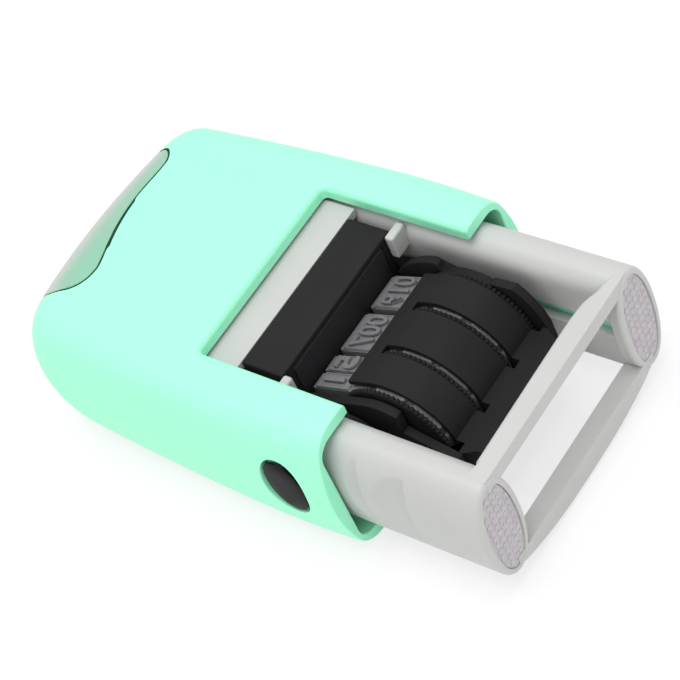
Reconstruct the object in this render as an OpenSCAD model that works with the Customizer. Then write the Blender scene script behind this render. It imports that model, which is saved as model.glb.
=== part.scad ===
// Self-inking pocket date stamp, lying on its back.
// +X is the width, +Y runs from the feet to the clear cap, +Z is the windowed front.
// Inside the modules Y is counted from the cover's mouth and Z from the middle plane.

/* [Cover] */
// Width of the cover
cover_w = 44; // [42:0.5:50]
// Length of the cover along the stroke
cover_l = 55; // [54:0.5:66]
// Thickness of the cover from back to front
cover_t = 21.4; // [21:0.2:25]
// Wall of the front and back faces
wall_face = 1.8; // [1.6:0.1:1.9]
// Wall of the two sides
wall_side = 2.4; // [2:0.1:2.6]
// Wall of the closed end, under the clear cap
wall_end = 3.2; // [3:0.1:3.6]
// Corner radius of the closed end seen from the front
corner_r = 12; // [9:0.5:15]
// Radius that rolls the faces into the sides
edge_r = 4; // [3.5:0.1:5]
// Radius of the bowed side walls
side_bow_r = 24; // [22:1:40]
// Width of the open window
window_w = 26.8; // [25:0.2:28]
// Length of the window from the mouth
window_l = 21.7; // [21:0.1:24]
// Corner radius of the window
window_r = 1.6; // [0.5:0.1:3]

/* [Clear cap] */
// Width of the clear cap
cap_w = 26.4; // [22:0.2:28]
// How far the clear cap comes down over the faces
cap_l = 11.9; // [10:0.1:12.2]
// Wall of the clear cap
cap_wall = 0.8; // [0.7:0.05:1]
// Thickness of the index card
card_t = 0.25; // [0.2:0.05:0.3]
// How far the index card stays back from the cap's edge
card_back = 3.2; // [2:0.1:4]

/* [Frame] */
// Width of the sliding frame
frame_w = 38.5; // [38:0.1:38.8]
// Thickness of the sliding frame
frame_t = 16.8; // [16:0.1:17.4]
// How far the feet stand out of the mouth
leg_reach = 20.2; // [19.8:0.1:21]
// Clear width between the legs
bay_w = 25.8; // [25.6:0.1:26]
// Wall of each leg's outer skin
leg_wall = 1.8; // [1.6:0.1:2.2]
// Wall of each leg's inner face
leg_web = 1.3; // [1:0.1:1.6]
// Width of the oval foot
foot_w = 7.2; // [6.4:0.1:7.6]
// Height of the slot that guides the pivots
slot_h = 2.7; // [2.6:0.1:3.2]
// How far the frame reaches into the cover
frame_in = 28; // [27:0.5:29]
// Wall of the frame's plates
plate_t = 1.2; // [1:0.1:1.6]

/* [Crossbars] */
// Depth of a crossbar along the stroke
bar_l = 2.4; // [2.2:0.1:2.8]
// Thickness of a crossbar
bar_t = 2.1; // [1.6:0.1:2.2]
// How far the front crossbar bows inwards
bar_bow = 1.1; // [0.2:0.1:1.2]

/* [Feet] */
// Thickness of a foot cap
foot_cap_t = 1.5; // [1.2:0.1:2]
// Rim of a foot cap round its pad
foot_rim = 0.9; // [0.7:0.1:1.2]
// Depth of the seat of a foot pad
pad_seat = 0.9; // [0.6:0.1:1]

/* [Ink cartridge] */
// Length of the ink tray along the stroke
tray_l = 6.2; // [5.6:0.1:6.3]
// Width of the ink tray between the yoke arms
tray_w = 21.6; // [20:0.1:21.8]
// Width of the lip that fingers pull the tray out by
lip_w = 23.6; // [22:0.1:25]
// Height of that lip
lip_t = 2.8; // [2:0.1:3]
// Wall of the ink tray
tray_wall = 1; // [0.8:0.1:1.2]

/* [Date unit] */
// Distance of the pivot from the cover's mouth
pivot_in = 3; // [2.8:0.1:3.2]
// Distance from the pivot to the printing face
type_reach = 8; // [7.8:0.05:8.1]
// Distance from the pivot to the wheel axle
axle_offset = 4.6; // [4.4:0.1:4.8]
// Radius of the drums that carry the bands
drum_r = 5.6; // [5.2:0.1:5.8]
// Thickness of a rubber band
band_t = 0.9; // [0.7:0.05:1]
// Height of the type blocks on a band
type_h = 0.55; // [0.4:0.05:0.6]
// Length of a type block along its band
type_l = 2.5; // [2:0.1:2.7]
// Thickness of the arched covers
arch_t = 0.7; // [0.5:0.05:0.8]
// Radius of the thumb wheels
thumb_r = 7.75; // [7.4:0.05:7.9]
// Width of a thumb wheel's knurled rim
thumb_w = 0.8; // [0.7:0.05:1]
// Teeth of the knurled rims
thumb_n = 48; // [24:4:60]
// Thickness of a cheek plate
cheek_t = 1.2; // [1:0.1:1.3]
// Distance from the wheel axle to the tail's end
tail_reach = 12.2; // [11.8:0.1:12.4]
// Thickness of the flat tail
tail_t = 3.2; // [2.4:0.1:3.4]

/* [Turning gear] */
// Radius of the pivot stubs
pivot_r = 1.2; // [1:0.05:1.25]
// Radius of the fixed turning pegs
peg_r = 0.8; // [0.6:0.05:0.9]
// Distance of the pegs below the pivot
peg_drop = 3.7; // [3.6:0.05:3.9]
// Depth of the turning grooves in the cheeks
groove_d = 0.6; // [0.4:0.05:0.7]
// Radius of the steel wheel axle
axle_r = 1; // [0.8:0.05:1.2]

/* [Yoke and spring] */
// Thickness of the yoke arms
arm_t = 1.4; // [1.2:0.1:1.5]
// Height of the yoke arms
arm_h = 5.2; // [4.4:0.1:5.3]
// Radius of the arm's eye round the pivot
eye_r = 4; // [3.2:0.1:4.4]
// Thickness of the yoke bridge
bridge_t = 2; // [1.6:0.1:2.4]
// Wire diameter of the return spring
wire_d = 0.7; // [0.5:0.05:0.8]
// Radius of the return spring's coils
coil_r = 3.9; // [3.4:0.1:4]
// Turns of the return spring
coil_n = 12; // [8:1:13]

/* [Lock buttons] */
// Length of a lock button along the stroke
button_l = 6.2; // [5.4:0.1:6.6]
// Height of a lock button
button_h = 11.6; // [10:0.1:12]
// Distance of the buttons from the mouth
button_in = 6.7; // [6.4:0.1:7]
// How far a button can be pushed in
button_travel = 1; // [0.6:0.1:1]
// How much a button's face is domed
button_dome = 0.4; // [0.2:0.05:0.5]

/* [Hidden] */

$fn = 64;
over = 1;
slide_gap = 0.15;
run_gap = 0.05;
side_gap = 0.25;

// Where the mouth of the cover lies, so that the origin is under the middle
mouth_y = (leg_reach - cover_l) / 2;

// Colours
mint = [0.55, 0.95, 0.8];
pale = [0.82, 0.82, 0.81];
black = [0.13, 0.13, 0.13];
rubber = [0.42, 0.42, 0.43];
steel = [0.75, 0.75, 0.77];

// Inside of the cover: a wide room for the frame, and a narrow one under the clear cap
under_cap = cap_wall + card_t + run_gap;
room_w = cover_w - 2 * wall_side;
room_t = cover_t - 2 * wall_face;
room_r = edge_r - wall_face;
room_l = frame_in + leg_reach + pivot_in - type_reach + 3 * side_gap;
loft_w = cap_w + 2 * slide_gap;
loft_t = cover_t - 2 * under_cap - 2 * wall_face;
loft_l = cover_l - under_cap - wall_end;

// Frame
foot_x = frame_w / 2 - foot_w / 2;
oval_n = 2.2;
oval_steps = 28;
stroke = leg_reach + pivot_in - type_reach;
bay = bay_w / 2;
half_t = frame_t / 2;
leg_chamfer = 0.5;
bar_r = 0.8;
bar_end = leg_reach - bar_r / 4;
bar_bow_r = (bay * bay + bar_bow * bar_bow) / (2 * bar_bow);
tray_front = pivot_in + type_reach + run_gap;
tray_back = tray_front + tray_l;
post_l = 1.1;
post_drop = 3.6;
shelf_l = 1.8;
cup_r = coil_r + wire_d / 2 + side_gap;
cup_floor = tray_back + 2 * plate_t;

// Date unit, with Y counted from its pivot
unit_half = bay - arm_t - 2 * side_gap - slide_gap;
cheek_in = unit_half - cheek_t;
nose_r = 0.8;
nose_flat = 0.7;
nose_z = 1.45;
nose_y = type_reach - type_h - band_t - nose_r;
arch_out = thumb_r + side_gap;
arch_in = arch_out - arch_t;
arch_edge = 3;
slot_start = 0.7;
thumb_side = side_gap;
notch_y = axle_offset + thumb_r + 2 * side_gap;
cheek_r = 7;
lip_r = 9.6;
lip_z = 7.3;
ear_rise = 0.9;
peg_y = stroke / 2;
groove_r = peg_r + side_gap;
groove_steps = 24;

// Widths of the four bands and the side that each thumb wheel's rim is on
wheel_gap = 0.15;
row_half = cheek_in - thumb_side;
tens_share = 0.165;
units_share = 0.1755;
month_share = 0.3617;

// Yoke
arm_out = unit_half + side_gap + arm_t;
bridge_y = loft_l - bridge_t;
arm_top = 4.2;

// Lock buttons
well_gap = 0.2;
head_t = 0.9;
well_d = head_t + button_travel + slide_gap;
tip_r = 0.85;
tip_y = button_in + 1.2;
pocket_d = 0.85;
pocket_h = 11;
lock_pocket = [1.2, 8.9];

function oval_point(a, b, t) = [
    a * sign(cos(t)) * pow(abs(cos(t)), 2 / oval_n),
    b * sign(sin(t)) * pow(abs(sin(t)), 2 / oval_n)];

// Oval with half axes a and b, a little squarer than an ellipse
module oval(a, b) {
    polygon([for (i = [0:2 * oval_steps - 1]) oval_point(a, b, 180 * i / oval_steps)]);
}

module both_sides() {
    children();
    mirror([1, 0, 0]) children();
}

module both_faces() {
    children();
    mirror([0, 0, 1]) children();
}

// Puts a shape drawn in X and Z up along Y, from y0 over a length
module along(y0, length) {
    translate([0, y0 + length, 0]) rotate([90, 0, 0]) linear_extrude(length) children();
}

// Puts a shape drawn in Y and Z across X, from x0 over a width
module across(x0, width) {
    translate([x0, 0, 0]) rotate([90, 0, 90]) linear_extrude(width) children();
}

module round_rect(w, h, r) {
    square([w - 2 * r, h], center = true);
    square([w, h - 2 * r], center = true);
    for (x = [-1, 1], y = [-1, 1]) translate([x * (w / 2 - r), y * (h / 2 - r)]) circle(r);
}

// Section of the cover: flat faces whose rolled edges run on smoothly into bowed sides
bow_x = side_bow_r - cover_w / 2;
edge_z = cover_t / 2 - edge_r;
edge_x = sqrt(pow(side_bow_r - edge_r, 2) - edge_z * edge_z) - bow_x;

module cover_section(inset) {
    join_z = (side_bow_r - inset) * edge_z / (side_bow_r - edge_r);
    intersection() {
        translate([bow_x, 0]) circle(side_bow_r - inset);
        translate([-bow_x, 0]) circle(side_bow_r - inset);
        square([2 * cover_w, 2 * join_z], center = true);
    }
    square([2 * edge_x, cover_t - 2 * inset], center = true);
    for (x = [-edge_x, edge_x], z = [-edge_z, edge_z]) translate([x, z]) circle(edge_r - inset);
}

// The cover's outer form, drawn in by an inset on every side but the mouth
module cover_form(inset) {
    straight = cover_l - corner_r;
    corner_x = cover_w / 2 - corner_r;
    along(0, straight) cover_section(inset);
    both_sides() translate([corner_x, straight, 0]) rotate_extrude() intersection() {
        translate([-corner_x, 0]) cover_section(inset);
        translate([0, -cover_t]) square([cover_w, 2 * cover_t]);
    }
    across(-corner_x, 2 * corner_x) translate([straight, 0]) intersection() {
        translate([-corner_x, 0]) cover_section(inset);
        translate([0, -cover_t]) square([cover_w, 2 * cover_t]);
    }
}

// Lower edge of the clear cap as shares of its width and length: a deep lobe and a shallow one
cap_edge_shares = [[-0.5, 0.538], [-0.498, 0.647], [-0.489, 0.748], [-0.466, 0.849], [-0.436, 0.924],
    [-0.394, 0.975], [-0.348, 1], [-0.303, 0.992], [-0.261, 0.962], [-0.208, 0.92], [-0.152, 0.882],
    [-0.076, 0.845], [0, 0.819], [0.076, 0.798], [0.152, 0.79], [0.227, 0.794], [0.303, 0.807],
    [0.36, 0.819], [0.402, 0.828], [0.432, 0.824], [0.458, 0.798], [0.481, 0.756], [0.494, 0.697],
    [0.5, 0.622]];

module cap_outline(w, l) {
    polygon(concat([[-w / 2, cover_l + over]],
        [for (p = cap_edge_shares) [p[0] * w, cover_l - p[1] * l]], [[w / 2, cover_l + over]]));
}

module both_sides_flat(x) {
    translate([x, 0]) children();
    translate([-x, 0]) children();
}

module cap_zone(w, l) {
    translate([0, 0, -cover_t]) linear_extrude(2 * cover_t) cap_outline(w, l);
}

// U-shaped window with rounded inner corners, open at the mouth
module window_cut() {
    translate([0, 0, -cover_t]) linear_extrude(2 * cover_t) {
        translate([-window_w / 2, -over]) square([window_w, window_l + over - window_r]);
        translate([-window_w / 2 + window_r, 0]) square([window_w - 2 * window_r, window_l]);
        both_sides_flat(window_w / 2 - window_r) translate([0, window_l - window_r]) circle(window_r);
    }
}

// Oval prism along X through the left wall, centred on a lock button
module button_prism(x0, width, grow) {
    across(x0, width) translate([button_in, 0]) oval(button_l / 2 + grow, button_h / 2 + grow);
}

module cover_shell() color(mint) placed() difference() {
    cover_form(0);
    along(-over, room_l + over) round_rect(room_w, room_t, room_r);
    along(0, loft_l) round_rect(loft_w, loft_t, room_r);
    window_cut();
    difference() {
        cap_zone(cap_w + 2 * slide_gap, cap_l + slide_gap);
        cover_form(under_cap);
    }
    both_sides() {
        button_prism(-cover_w / 2 - over, well_d + over, well_gap);
        translate([-cover_w / 2, tip_y, 0]) rotate([0, 90, 0])
            cylinder(r = tip_r + slide_gap, h = 2 * wall_side);
    }
}

module clear_cap() color([0.7, 0.87, 0.8, 0.5]) placed() difference() {
    intersection() {
        cover_form(0);
        cap_zone(cap_w, cap_l);
    }
    cover_form(cap_wall);
}

module index_card() color([0.93, 0.95, 0.93]) placed() difference() {
    intersection() {
        cover_form(cap_wall + run_gap);
        cap_zone(cap_w - 2 * card_t, cap_l - card_back);
    }
    cover_form(under_cap);
}

// Side view of a yoke arm: a strip that swells into the eye round the pivot
module arm_side() {
    difference() {
        union() {
            translate([pivot_in, -arm_h / 2]) square([bridge_y + bridge_t - pivot_in, arm_h]);
            translate([pivot_in, 0]) circle(eye_r);
            polygon([[pivot_in, 0], [pivot_in, eye_r], [pivot_in + eye_r / 2, arm_top + ear_rise / 2],
                [pivot_in + 2 * eye_r, arm_h / 2], [pivot_in + 2 * eye_r, 0]]);
        }
        translate([pivot_in - 2 * eye_r, -arm_h / 2 - 2 * eye_r]) square([4 * eye_r, 2 * eye_r]);
    }
}

module cover_yoke() color(black) placed() {
    difference() {
        both_sides() across(arm_out - arm_t, arm_t) arm_side();
        translate([-cover_w / 2, pivot_in, 0]) rotate([0, 90, 0])
            cylinder(r = pivot_r + run_gap, h = cover_w);
    }
    along(bridge_y, bridge_t) round_rect(loft_w, loft_t, room_r);
    along(bridge_y - 3 * bridge_t, 3 * bridge_t) circle(coil_r - wire_d / 2 - side_gap);
}

// The spring's wire runs as one tube along a helix
wire_sides = 6;
coil_steps = 20;
spring_y0 = cup_floor;
spring_y1 = bridge_y;
wire_turn = 360 / coil_steps;
coil_rise = (spring_y1 - spring_y0 - wire_d) / (coil_n * coil_steps);
function coil_axis(i) = [coil_r * cos(i * wire_turn), spring_y0 + wire_d / 2 + i * coil_rise,
    coil_r * sin(i * wire_turn)];
function coil_ring(i) = [for (k = [0:wire_sides - 1]) coil_axis(i)
    + wire_d / 2 * cos(360 * k / wire_sides) * [cos(i * wire_turn), 0, sin(i * wire_turn)]
    + [0, wire_d / 2 * sin(360 * k / wire_sides), 0]];
coil_rings = coil_n * coil_steps;
coil_points = [for (i = [0:coil_rings]) each coil_ring(i)];
coil_faces = concat(
    [[for (k = [0:wire_sides - 1]) k]],
    [for (i = [0:coil_rings - 1], k = [0:wire_sides - 1])
        let (a = i * wire_sides + k, b = i * wire_sides + (k + 1) % wire_sides)
        each [[a, a + wire_sides, b + wire_sides], [a, b + wire_sides, b]]],
    [[for (k = [wire_sides - 1:-1:0]) coil_rings * wire_sides + k]]);

module return_spring() color(steel) placed() polyhedron(coil_points, coil_faces, convexity = 10);

// Left lock button: a domed oval head and a round tip through the wall
module lock_button() {
    dome_r = button_h * button_h / (8 * button_dome);
    x0 = -cover_w / 2 + head_t;
    intersection() {
        button_prism(-cover_w / 2, head_t, 0);
        translate([dome_r - cover_w / 2, 0, 0]) rotate([-90, 0, 0])
            cylinder(r = dome_r, h = cover_l, $fn = 360);
    }
    translate([x0, tip_y, 0]) rotate([0, 90, 0])
        cylinder(r = tip_r, h = wall_side - head_t - run_gap);
}

module lock_button_left() color(black) placed() lock_button();
module lock_button_right() color(black) placed() mirror([1, 0, 0]) lock_button();

// Section of a leg: flat inside, half oval outside
module leg_section(inset, web) {
    a = foot_w / 2 - inset;
    b = half_t - inset;
    x_in = bay + web;
    polygon(concat(
        [for (i = [-oval_steps / 2:oval_steps / 2])
            [foot_x, 0] + oval_point(a, b, 180 * i / oval_steps)],
        [[x_in + leg_chamfer, b], [x_in, b - leg_chamfer], [x_in, leg_chamfer - b],
            [x_in + leg_chamfer, -b]]));
}

// Where a lock tip finds room in the leg: at rest, and when the frame is locked in
module lock_pockets() {
    x1 = frame_w / 2 - pocket_d;
    rest = [tip_y - 3 * tip_r, tip_y + 3 * tip_r];
    for (span = [rest, -[lock_pocket[1], lock_pocket[0]]])
        translate([x1, span[0], -pocket_h / 2]) cube([foot_w, span[1] - span[0], pocket_h]);
}

module leg() {
    foot_y = foot_cap_t - leg_reach;
    difference() {
        along(foot_y, frame_in - foot_y) leg_section(0, 0);
        along(foot_y - over, frame_in - foot_y + 2 * over)
            leg_section(leg_wall, leg_web);
        translate([bay - over, foot_y - over, -slot_h / 2])
            cube([leg_web + 2 * over, pivot_in + slot_h / 2 - foot_y + over, slot_h]);
        lock_pockets();
    }
    peg_l = arm_t + groove_d + side_gap + slide_gap;
    translate([bay - peg_l, pivot_in - peg_y, -peg_drop]) rotate([0, 90, 0])
        cylinder(r = peg_r, h = peg_l + leg_web / 2);
}

// Crossbar section in Y and Z with rolled edges
module bar_section(y_in) {
    l = y_in + bar_end;
    translate([(y_in - bar_end) / 2, half_t - bar_t / 2]) round_rect(l, bar_t, bar_r);
}

module foot_ovals() {
    both_sides() along(-leg_reach - over, foot_cap_t + over) translate([foot_x, 0])
        oval(foot_w / 2, half_t);
}

module crossbars() difference() {
    union() {
        intersection() {
            across(-foot_x, 2 * foot_x) bar_section(bar_l + bar_bow - bar_end);
            translate([0, bar_l + bar_bow - bar_end - bar_bow_r, 0])
                cylinder(r = bar_bow_r, h = frame_t, $fn = 256);
        }
        mirror([0, 0, 1]) across(-foot_x, 2 * foot_x) bar_section(bar_l - bar_end);
    }
    foot_ovals();
}

module frame_body() color(pale) placed() {
    plate_l = frame_in - tray_back;
    both_sides() leg();
    crossbars();
    both_faces() translate([-bay - leg_web, tray_back, half_t - plate_t])
        cube([2 * (bay + leg_web), plate_l, plate_t]);
    translate([-unit_half, tray_back, -half_t]) cube([2 * unit_half, plate_t, frame_t]);
    translate([-unit_half, tray_back - shelf_l, -half_t]) cube([2 * unit_half, shelf_l, plate_t]);
    post_x = arm_out - arm_t - slide_gap;
    both_sides() both_faces() translate([post_x, tray_front - post_l, half_t - post_drop])
        cube([bay + leg_web / 2 - post_x, post_l, post_drop]);
    difference() {
        translate([-bay - leg_web / 2, frame_in - plate_t, -half_t])
            cube([2 * bay + leg_web, plate_t, frame_t]);
        both_sides() translate([arm_out - arm_t - side_gap, frame_in - plate_t - over, -eye_r])
            cube([arm_t + 2 * side_gap, plate_t + 2 * over, 2 * eye_r]);
        along(0, frame_in + over) circle(cup_r);
    }
    difference() {
        along(tray_back, frame_in - tray_back) circle(cup_r + plate_t);
        along(cup_floor, frame_in) circle(cup_r);
    }
}

module foot_cap() difference() {
    along(-leg_reach, foot_cap_t) translate([foot_x, 0]) oval(foot_w / 2, half_t);
    along(-leg_reach - over, pad_seat + over) translate([foot_x, 0])
        oval(foot_w / 2 - foot_rim, half_t - foot_rim);
}

module foot_pad() {
    rise = 2 * run_gap;
    along(rise - leg_reach, pad_seat - rise) translate([foot_x, 0])
        oval(foot_w / 2 - foot_rim, half_t - foot_rim);
}

module guide_strip() {
    strip_h = 2 * slot_h;
    foot_y = foot_cap_t - leg_reach;
    translate([bay + leg_web, foot_y, -strip_h / 2])
        cube([leg_web / 2, pivot_in + strip_h / 2 - foot_y, strip_h]);
}

module foot_cap_right() color(pale) placed() foot_cap();
module foot_cap_left() color(pale) placed() mirror([1, 0, 0]) foot_cap();
module foot_pad_right() color([0.72, 0.7, 0.72]) placed() foot_pad();
module foot_pad_left() color([0.72, 0.7, 0.72]) placed() mirror([1, 0, 0]) foot_pad();
module guide_strip_right() color(mint) placed() guide_strip();
module guide_strip_left() color(mint) placed() mirror([1, 0, 0]) guide_strip();

// Ink cartridge: a tray open towards the type, with a pull lip at the front
tray_h = frame_t - plate_t - run_gap;
tray_z0 = plate_t + run_gap - half_t;
tray_len = tray_l - run_gap;

module ink_tray() color(black) placed() difference() {
    union() {
        translate([-tray_w / 2, tray_front, tray_z0]) cube([tray_w, tray_len, tray_h]);
        translate([-lip_w / 2, tray_front, half_t - lip_t]) cube([lip_w, tray_len, lip_t]);
    }
    translate([tray_wall - tray_w / 2, tray_front - over, tray_z0 + tray_wall])
        cube([tray_w - 2 * tray_wall, tray_len - tray_wall + over, tray_h - 2 * tray_wall]);
}

module ink_pad() color([0.1, 0.1, 0.1]) placed() {
    translate([tray_wall - tray_w / 2, tray_front, tray_z0 + tray_wall])
        cube([tray_w - 2 * tray_wall, tray_len - tray_wall, tray_h - 2 * tray_wall]);
}

// Everything of the date unit is drawn round its pivot
module unit() placed() translate([0, pivot_in, 0]) children();

// The band runs straight between its drum and the bar: length and direction of that run
run_span = norm([nose_y + axle_offset, nose_z]);
run_phi = atan2(nose_z, nose_y + axle_offset) + acos((drum_r - nose_r) / run_span);
run_l = sqrt(run_span * run_span - pow(drum_r - nose_r, 2));

// Outline of the band's run in Y and Z, a distance out from the drum
module run_outline(out) {
    r1 = drum_r + out;
    r2 = nose_r + out;
    t1 = [r1 * cos(run_phi) - axle_offset, r1 * sin(run_phi)];
    t2 = [nose_y + r2 * cos(run_phi), nose_z + r2 * sin(run_phi)];
    translate([-axle_offset, 0]) circle(r1, $fn = 128);
    for (z = [-nose_z, nose_z]) translate([nose_y, z]) circle(r2);
    polygon([t1, t2, [t2[0], -t2[1]], [t1[0], -t1[1]]]);
    translate([0, -nose_z]) square([nose_y + r2, 2 * nose_z]);
}

// Path that a turning peg takes in a cheek while the unit makes its half turn
function peg_path(k) = let (y = stroke * k - peg_y, a = 180 * k)
    [y * cos(a) + peg_drop * sin(a), y * sin(a) - peg_drop * cos(a)];
function peg_side(k, d) = let (p = peg_path(k), q = peg_path(k + 0.001), t = (q - p) / norm(q - p))
    p + d * [-t[1], t[0]];

module groove_outline() {
    polygon(concat(
        [for (i = [0:groove_steps]) peg_side(i / groove_steps, groove_r)],
        [for (i = [groove_steps:-1:0]) peg_side(i / groove_steps, -groove_r)]));
    for (k = [0, 1]) translate(peg_path(k)) circle(groove_r - run_gap);
}

// A cheek: plate, pivot stub, axle bore and turning groove
module cheek_plate() {
    difference() {
        across(cheek_in, cheek_t) children();
        across(unit_half - groove_d, groove_d + over) groove_outline();
        translate([0, -axle_offset, 0]) rotate([0, 90, 0])
            cylinder(r = axle_r, h = cover_w);
    }
    translate([unit_half - run_gap, 0, 0]) rotate([0, 90, 0])
        cylinder(r = pivot_r, h = bay + leg_web - unit_half);
}

// Side view that both cheeks share: round at the wheels, blunt behind the type
module cheek_side() {
    intersection() {
        run_outline(cheek_r - drum_r);
        translate([-2 * lip_r, -lip_r]) square([2 * lip_r + type_reach - nose_flat, 2 * lip_r]);
    }
    tail_y = -axle_offset - lip_r;
    polygon([[-axle_offset, peg_drop], [-peg_y / 2 - axle_offset / 2, peg_drop],
        [tail_y, tail_t / 2], [tail_y, -tail_t / 2], [-axle_offset, -peg_drop]]);
}

// The far cheek guards the type and the tail with raised rims
module cheek_right() color(black) unit() cheek_plate() {
    cheek_side();
    intersection() {
        run_outline(cheek_r - drum_r + 2 * ear_rise);
        square([nose_y, lip_z]);
    }
    intersection() {
        translate([-axle_offset, 0]) circle(lip_r, $fn = 128);
        translate([-axle_offset - lip_r, 0]) square([lip_r - side_gap - axle_offset / 2, lip_z]);
    }
}

// The near cheek is cut down behind its pivot, so that a thumb reaches the first wheel
module cheek_left() color(black) unit() mirror([1, 0, 0]) cheek_plate() difference() {
    cheek_side();
    polygon([[-peg_y, peg_drop - side_gap], [-peg_y, lip_r], [-2 * lip_r, lip_r], [-2 * lip_r, tail_t / 2],
        [-axle_offset - lip_r, tail_t / 2]]);
}

// Half of the casing: three arched covers between the thumb wheels, and half of the tail
module casing() {
    chamfer = 2 * arch_t - side_gap;
    tail_y = -axle_offset - tail_reach;
    difference() {
        union() {
            intersection() {
                across(-row_half, 2 * row_half) difference() {
                    run_outline(arch_out - drum_r);
                    run_outline(arch_in - drum_r);
                }
                translate([-cover_w / 2, -2 * thumb_r - axle_offset, 0])
                    cube([cover_w, 2 * thumb_r + axle_offset + arch_edge, cover_t]);
            }
            linear_extrude(tail_t / 2) polygon([
                [-cheek_in, -axle_offset - arch_in], [cheek_in, -axle_offset - arch_in],
                [cheek_in, -axle_offset - lip_r], [cheek_in - chamfer, tail_y + chamfer],
                [cheek_in - chamfer, tail_y], [chamfer - cheek_in, tail_y],
                [chamfer - cheek_in, tail_y + chamfer], [-cheek_in, -axle_offset - lip_r]]);
        }
        for (s = thumb_spans()) translate([s[0] - side_gap, -notch_y, -over])
            cube([s[1] - s[0] + 2 * side_gap, notch_y + s[2], cover_t]);
    }
}

// Where each wheel's drum and knurled rim lie along X
tens_end = -row_half + 2 * row_half * tens_share;
units_end = tens_end + 2 * row_half * units_share;
month_end = units_end + 2 * row_half * month_share;
wheel_x = [[-row_half, tens_end], [tens_end + wheel_gap, units_end],
    [units_end + wheel_gap, month_end], [month_end + wheel_gap, row_half]];
rim_low = [true, false, false, false];
function rim_x(i) = let (x = wheel_x[i])
    rim_low[i] ? [x[0], x[0] + thumb_w] : [x[1] - thumb_w, x[1]];
function drum_x(i) = let (x = wheel_x[i])
    rim_low[i] ? [x[0] + thumb_w, x[1]] : [x[0], x[1] - thumb_w];
function thumb_spans() = [for (i = [0:3])
    concat(rim_x(i), i == 0 || i == 3 ? arch_edge + over : slot_start)];

module casing_front() color(black) unit() casing();
module casing_back() color(black) unit() mirror([0, 0, 1]) casing();

module platen_bar() color(black) unit() {
    root_y = thumb_r - axle_offset + side_gap;
    across(-cheek_in, 2 * cheek_in) {
        for (z = [-nose_z, nose_z]) translate([nose_y, z]) circle(nose_r);
        polygon([[nose_y + nose_r, nose_z], [nose_y, nose_z + nose_r], [root_y, nose_z + nose_r],
            [root_y, -nose_z - nose_r], [nose_y, -nose_z - nose_r], [nose_y + nose_r, -nose_z]]);
    }
}

module wheel_axle() color(steel) unit() {
    translate([-unit_half + run_gap, -axle_offset, 0]) rotate([0, 90, 0])
        cylinder(r = axle_r, h = 2 * unit_half - 2 * run_gap);
}

// A thumb wheel with its drum; rim teeth follow a star outline
module date_wheel(i) color(black) unit() {
    tooth = thumb_r * PI / thumb_n / 2;
    rim = rim_x(i);
    drum = drum_x(i);
    translate([0, -axle_offset, 0]) difference() {
        union() {
            across(rim[0], rim[1] - rim[0]) polygon([for (k = [0:2 * thumb_n - 1])
                let (r = thumb_r - (k % 2) * tooth) r * [cos(180 * k / thumb_n), sin(180 * k / thumb_n)]]);
            across(drum[0], drum[1] - drum[0]) circle(drum_r);
        }
        translate([-cover_w / 2, 0, 0]) rotate([0, 90, 0])
            cylinder(r = axle_r + run_gap, h = cover_w);
    }
}

module day_tens_wheel() date_wheel(0);
module day_units_wheel() date_wheel(1);
module month_wheel() date_wheel(2);
module year_wheel() date_wheel(3);

// A rubber band runs round its drum and the platen bar, with a type block at every step
module date_band(i) color(rubber) unit() {
    drum = drum_x(i);
    x0 = drum[0] + run_gap;
    w = drum[1] - drum[0] - 2 * run_gap;
    across(x0, w) difference() {
        run_outline(run_gap + band_t);
        run_outline(run_gap);
    }
    across(x0, w) intersection() {
        difference() {
            run_outline(band_t + type_h);
            run_outline(run_gap + band_t);
        }
        type_fan();
    }
}

// Places that part the type layer into single blocks: the printing face, the two runs, the drum
module type_fan() {
    reach = 2 * thumb_r;
    face_l = 2 * nose_z + type_l;
    out_r = drum_r + band_t + type_h;
    run_n = floor(run_l / type_l - run_gap);
    run_step = run_l / run_n;
    drum_n = floor(PI * out_r * (1 - run_phi / 180) / (type_l * (1 + side_gap / 2)));
    drum_step = 2 * (180 - run_phi) / drum_n;
    drum_half = asin(type_l / (2 * out_r));
    translate([nose_y, -face_l / 2]) square([reach, face_l]);
    for (m = [0, 1], k = [0:run_n - 1]) mirror([0, m]) translate([-axle_offset, 0])
        rotate(run_phi) translate([drum_r, -(k + 0.5) * run_step - type_l / 2])
            square([reach, type_l]);
    for (k = [0:drum_n - 1]) translate([-axle_offset, 0])
        rotate(run_phi + (k + 0.5) * drum_step) polygon([[0, 0],
            reach * [cos(drum_half), sin(drum_half)], reach * [cos(drum_half), -sin(drum_half)]]);
}

module day_tens_band() date_band(0);
module day_units_band() date_band(1);
module month_band() date_band(2);
module year_band() date_band(3);

module placed() translate([0, mouth_y, cover_t / 2]) children();

cover_shell();
clear_cap();
index_card();
cover_yoke();
return_spring();
lock_button_left();
lock_button_right();
frame_body();
foot_cap_left();
foot_cap_right();
foot_pad_left();
foot_pad_right();
guide_strip_left();
guide_strip_right();
ink_tray();
ink_pad();
cheek_left();
cheek_right();
casing_front();
casing_back();
platen_bar();
wheel_axle();
day_tens_wheel();
day_units_wheel();
month_wheel();
year_wheel();
day_tens_band();
day_units_band();
month_band();
year_band();
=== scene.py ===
"""Looks of a self-inking pocket date stamp that lies on its back.

Lengths inside the classes are millimetres. Y is counted from the mouth of the cover and Z from its
middle plane, and Form.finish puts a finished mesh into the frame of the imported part.
"""

import logging
import math
from dataclasses import dataclass, field
from enum import Enum
from typing import Callable, Iterator, Sequence

import bmesh
import bpy
from mathutils import Matrix, Quaternion, Vector


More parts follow.
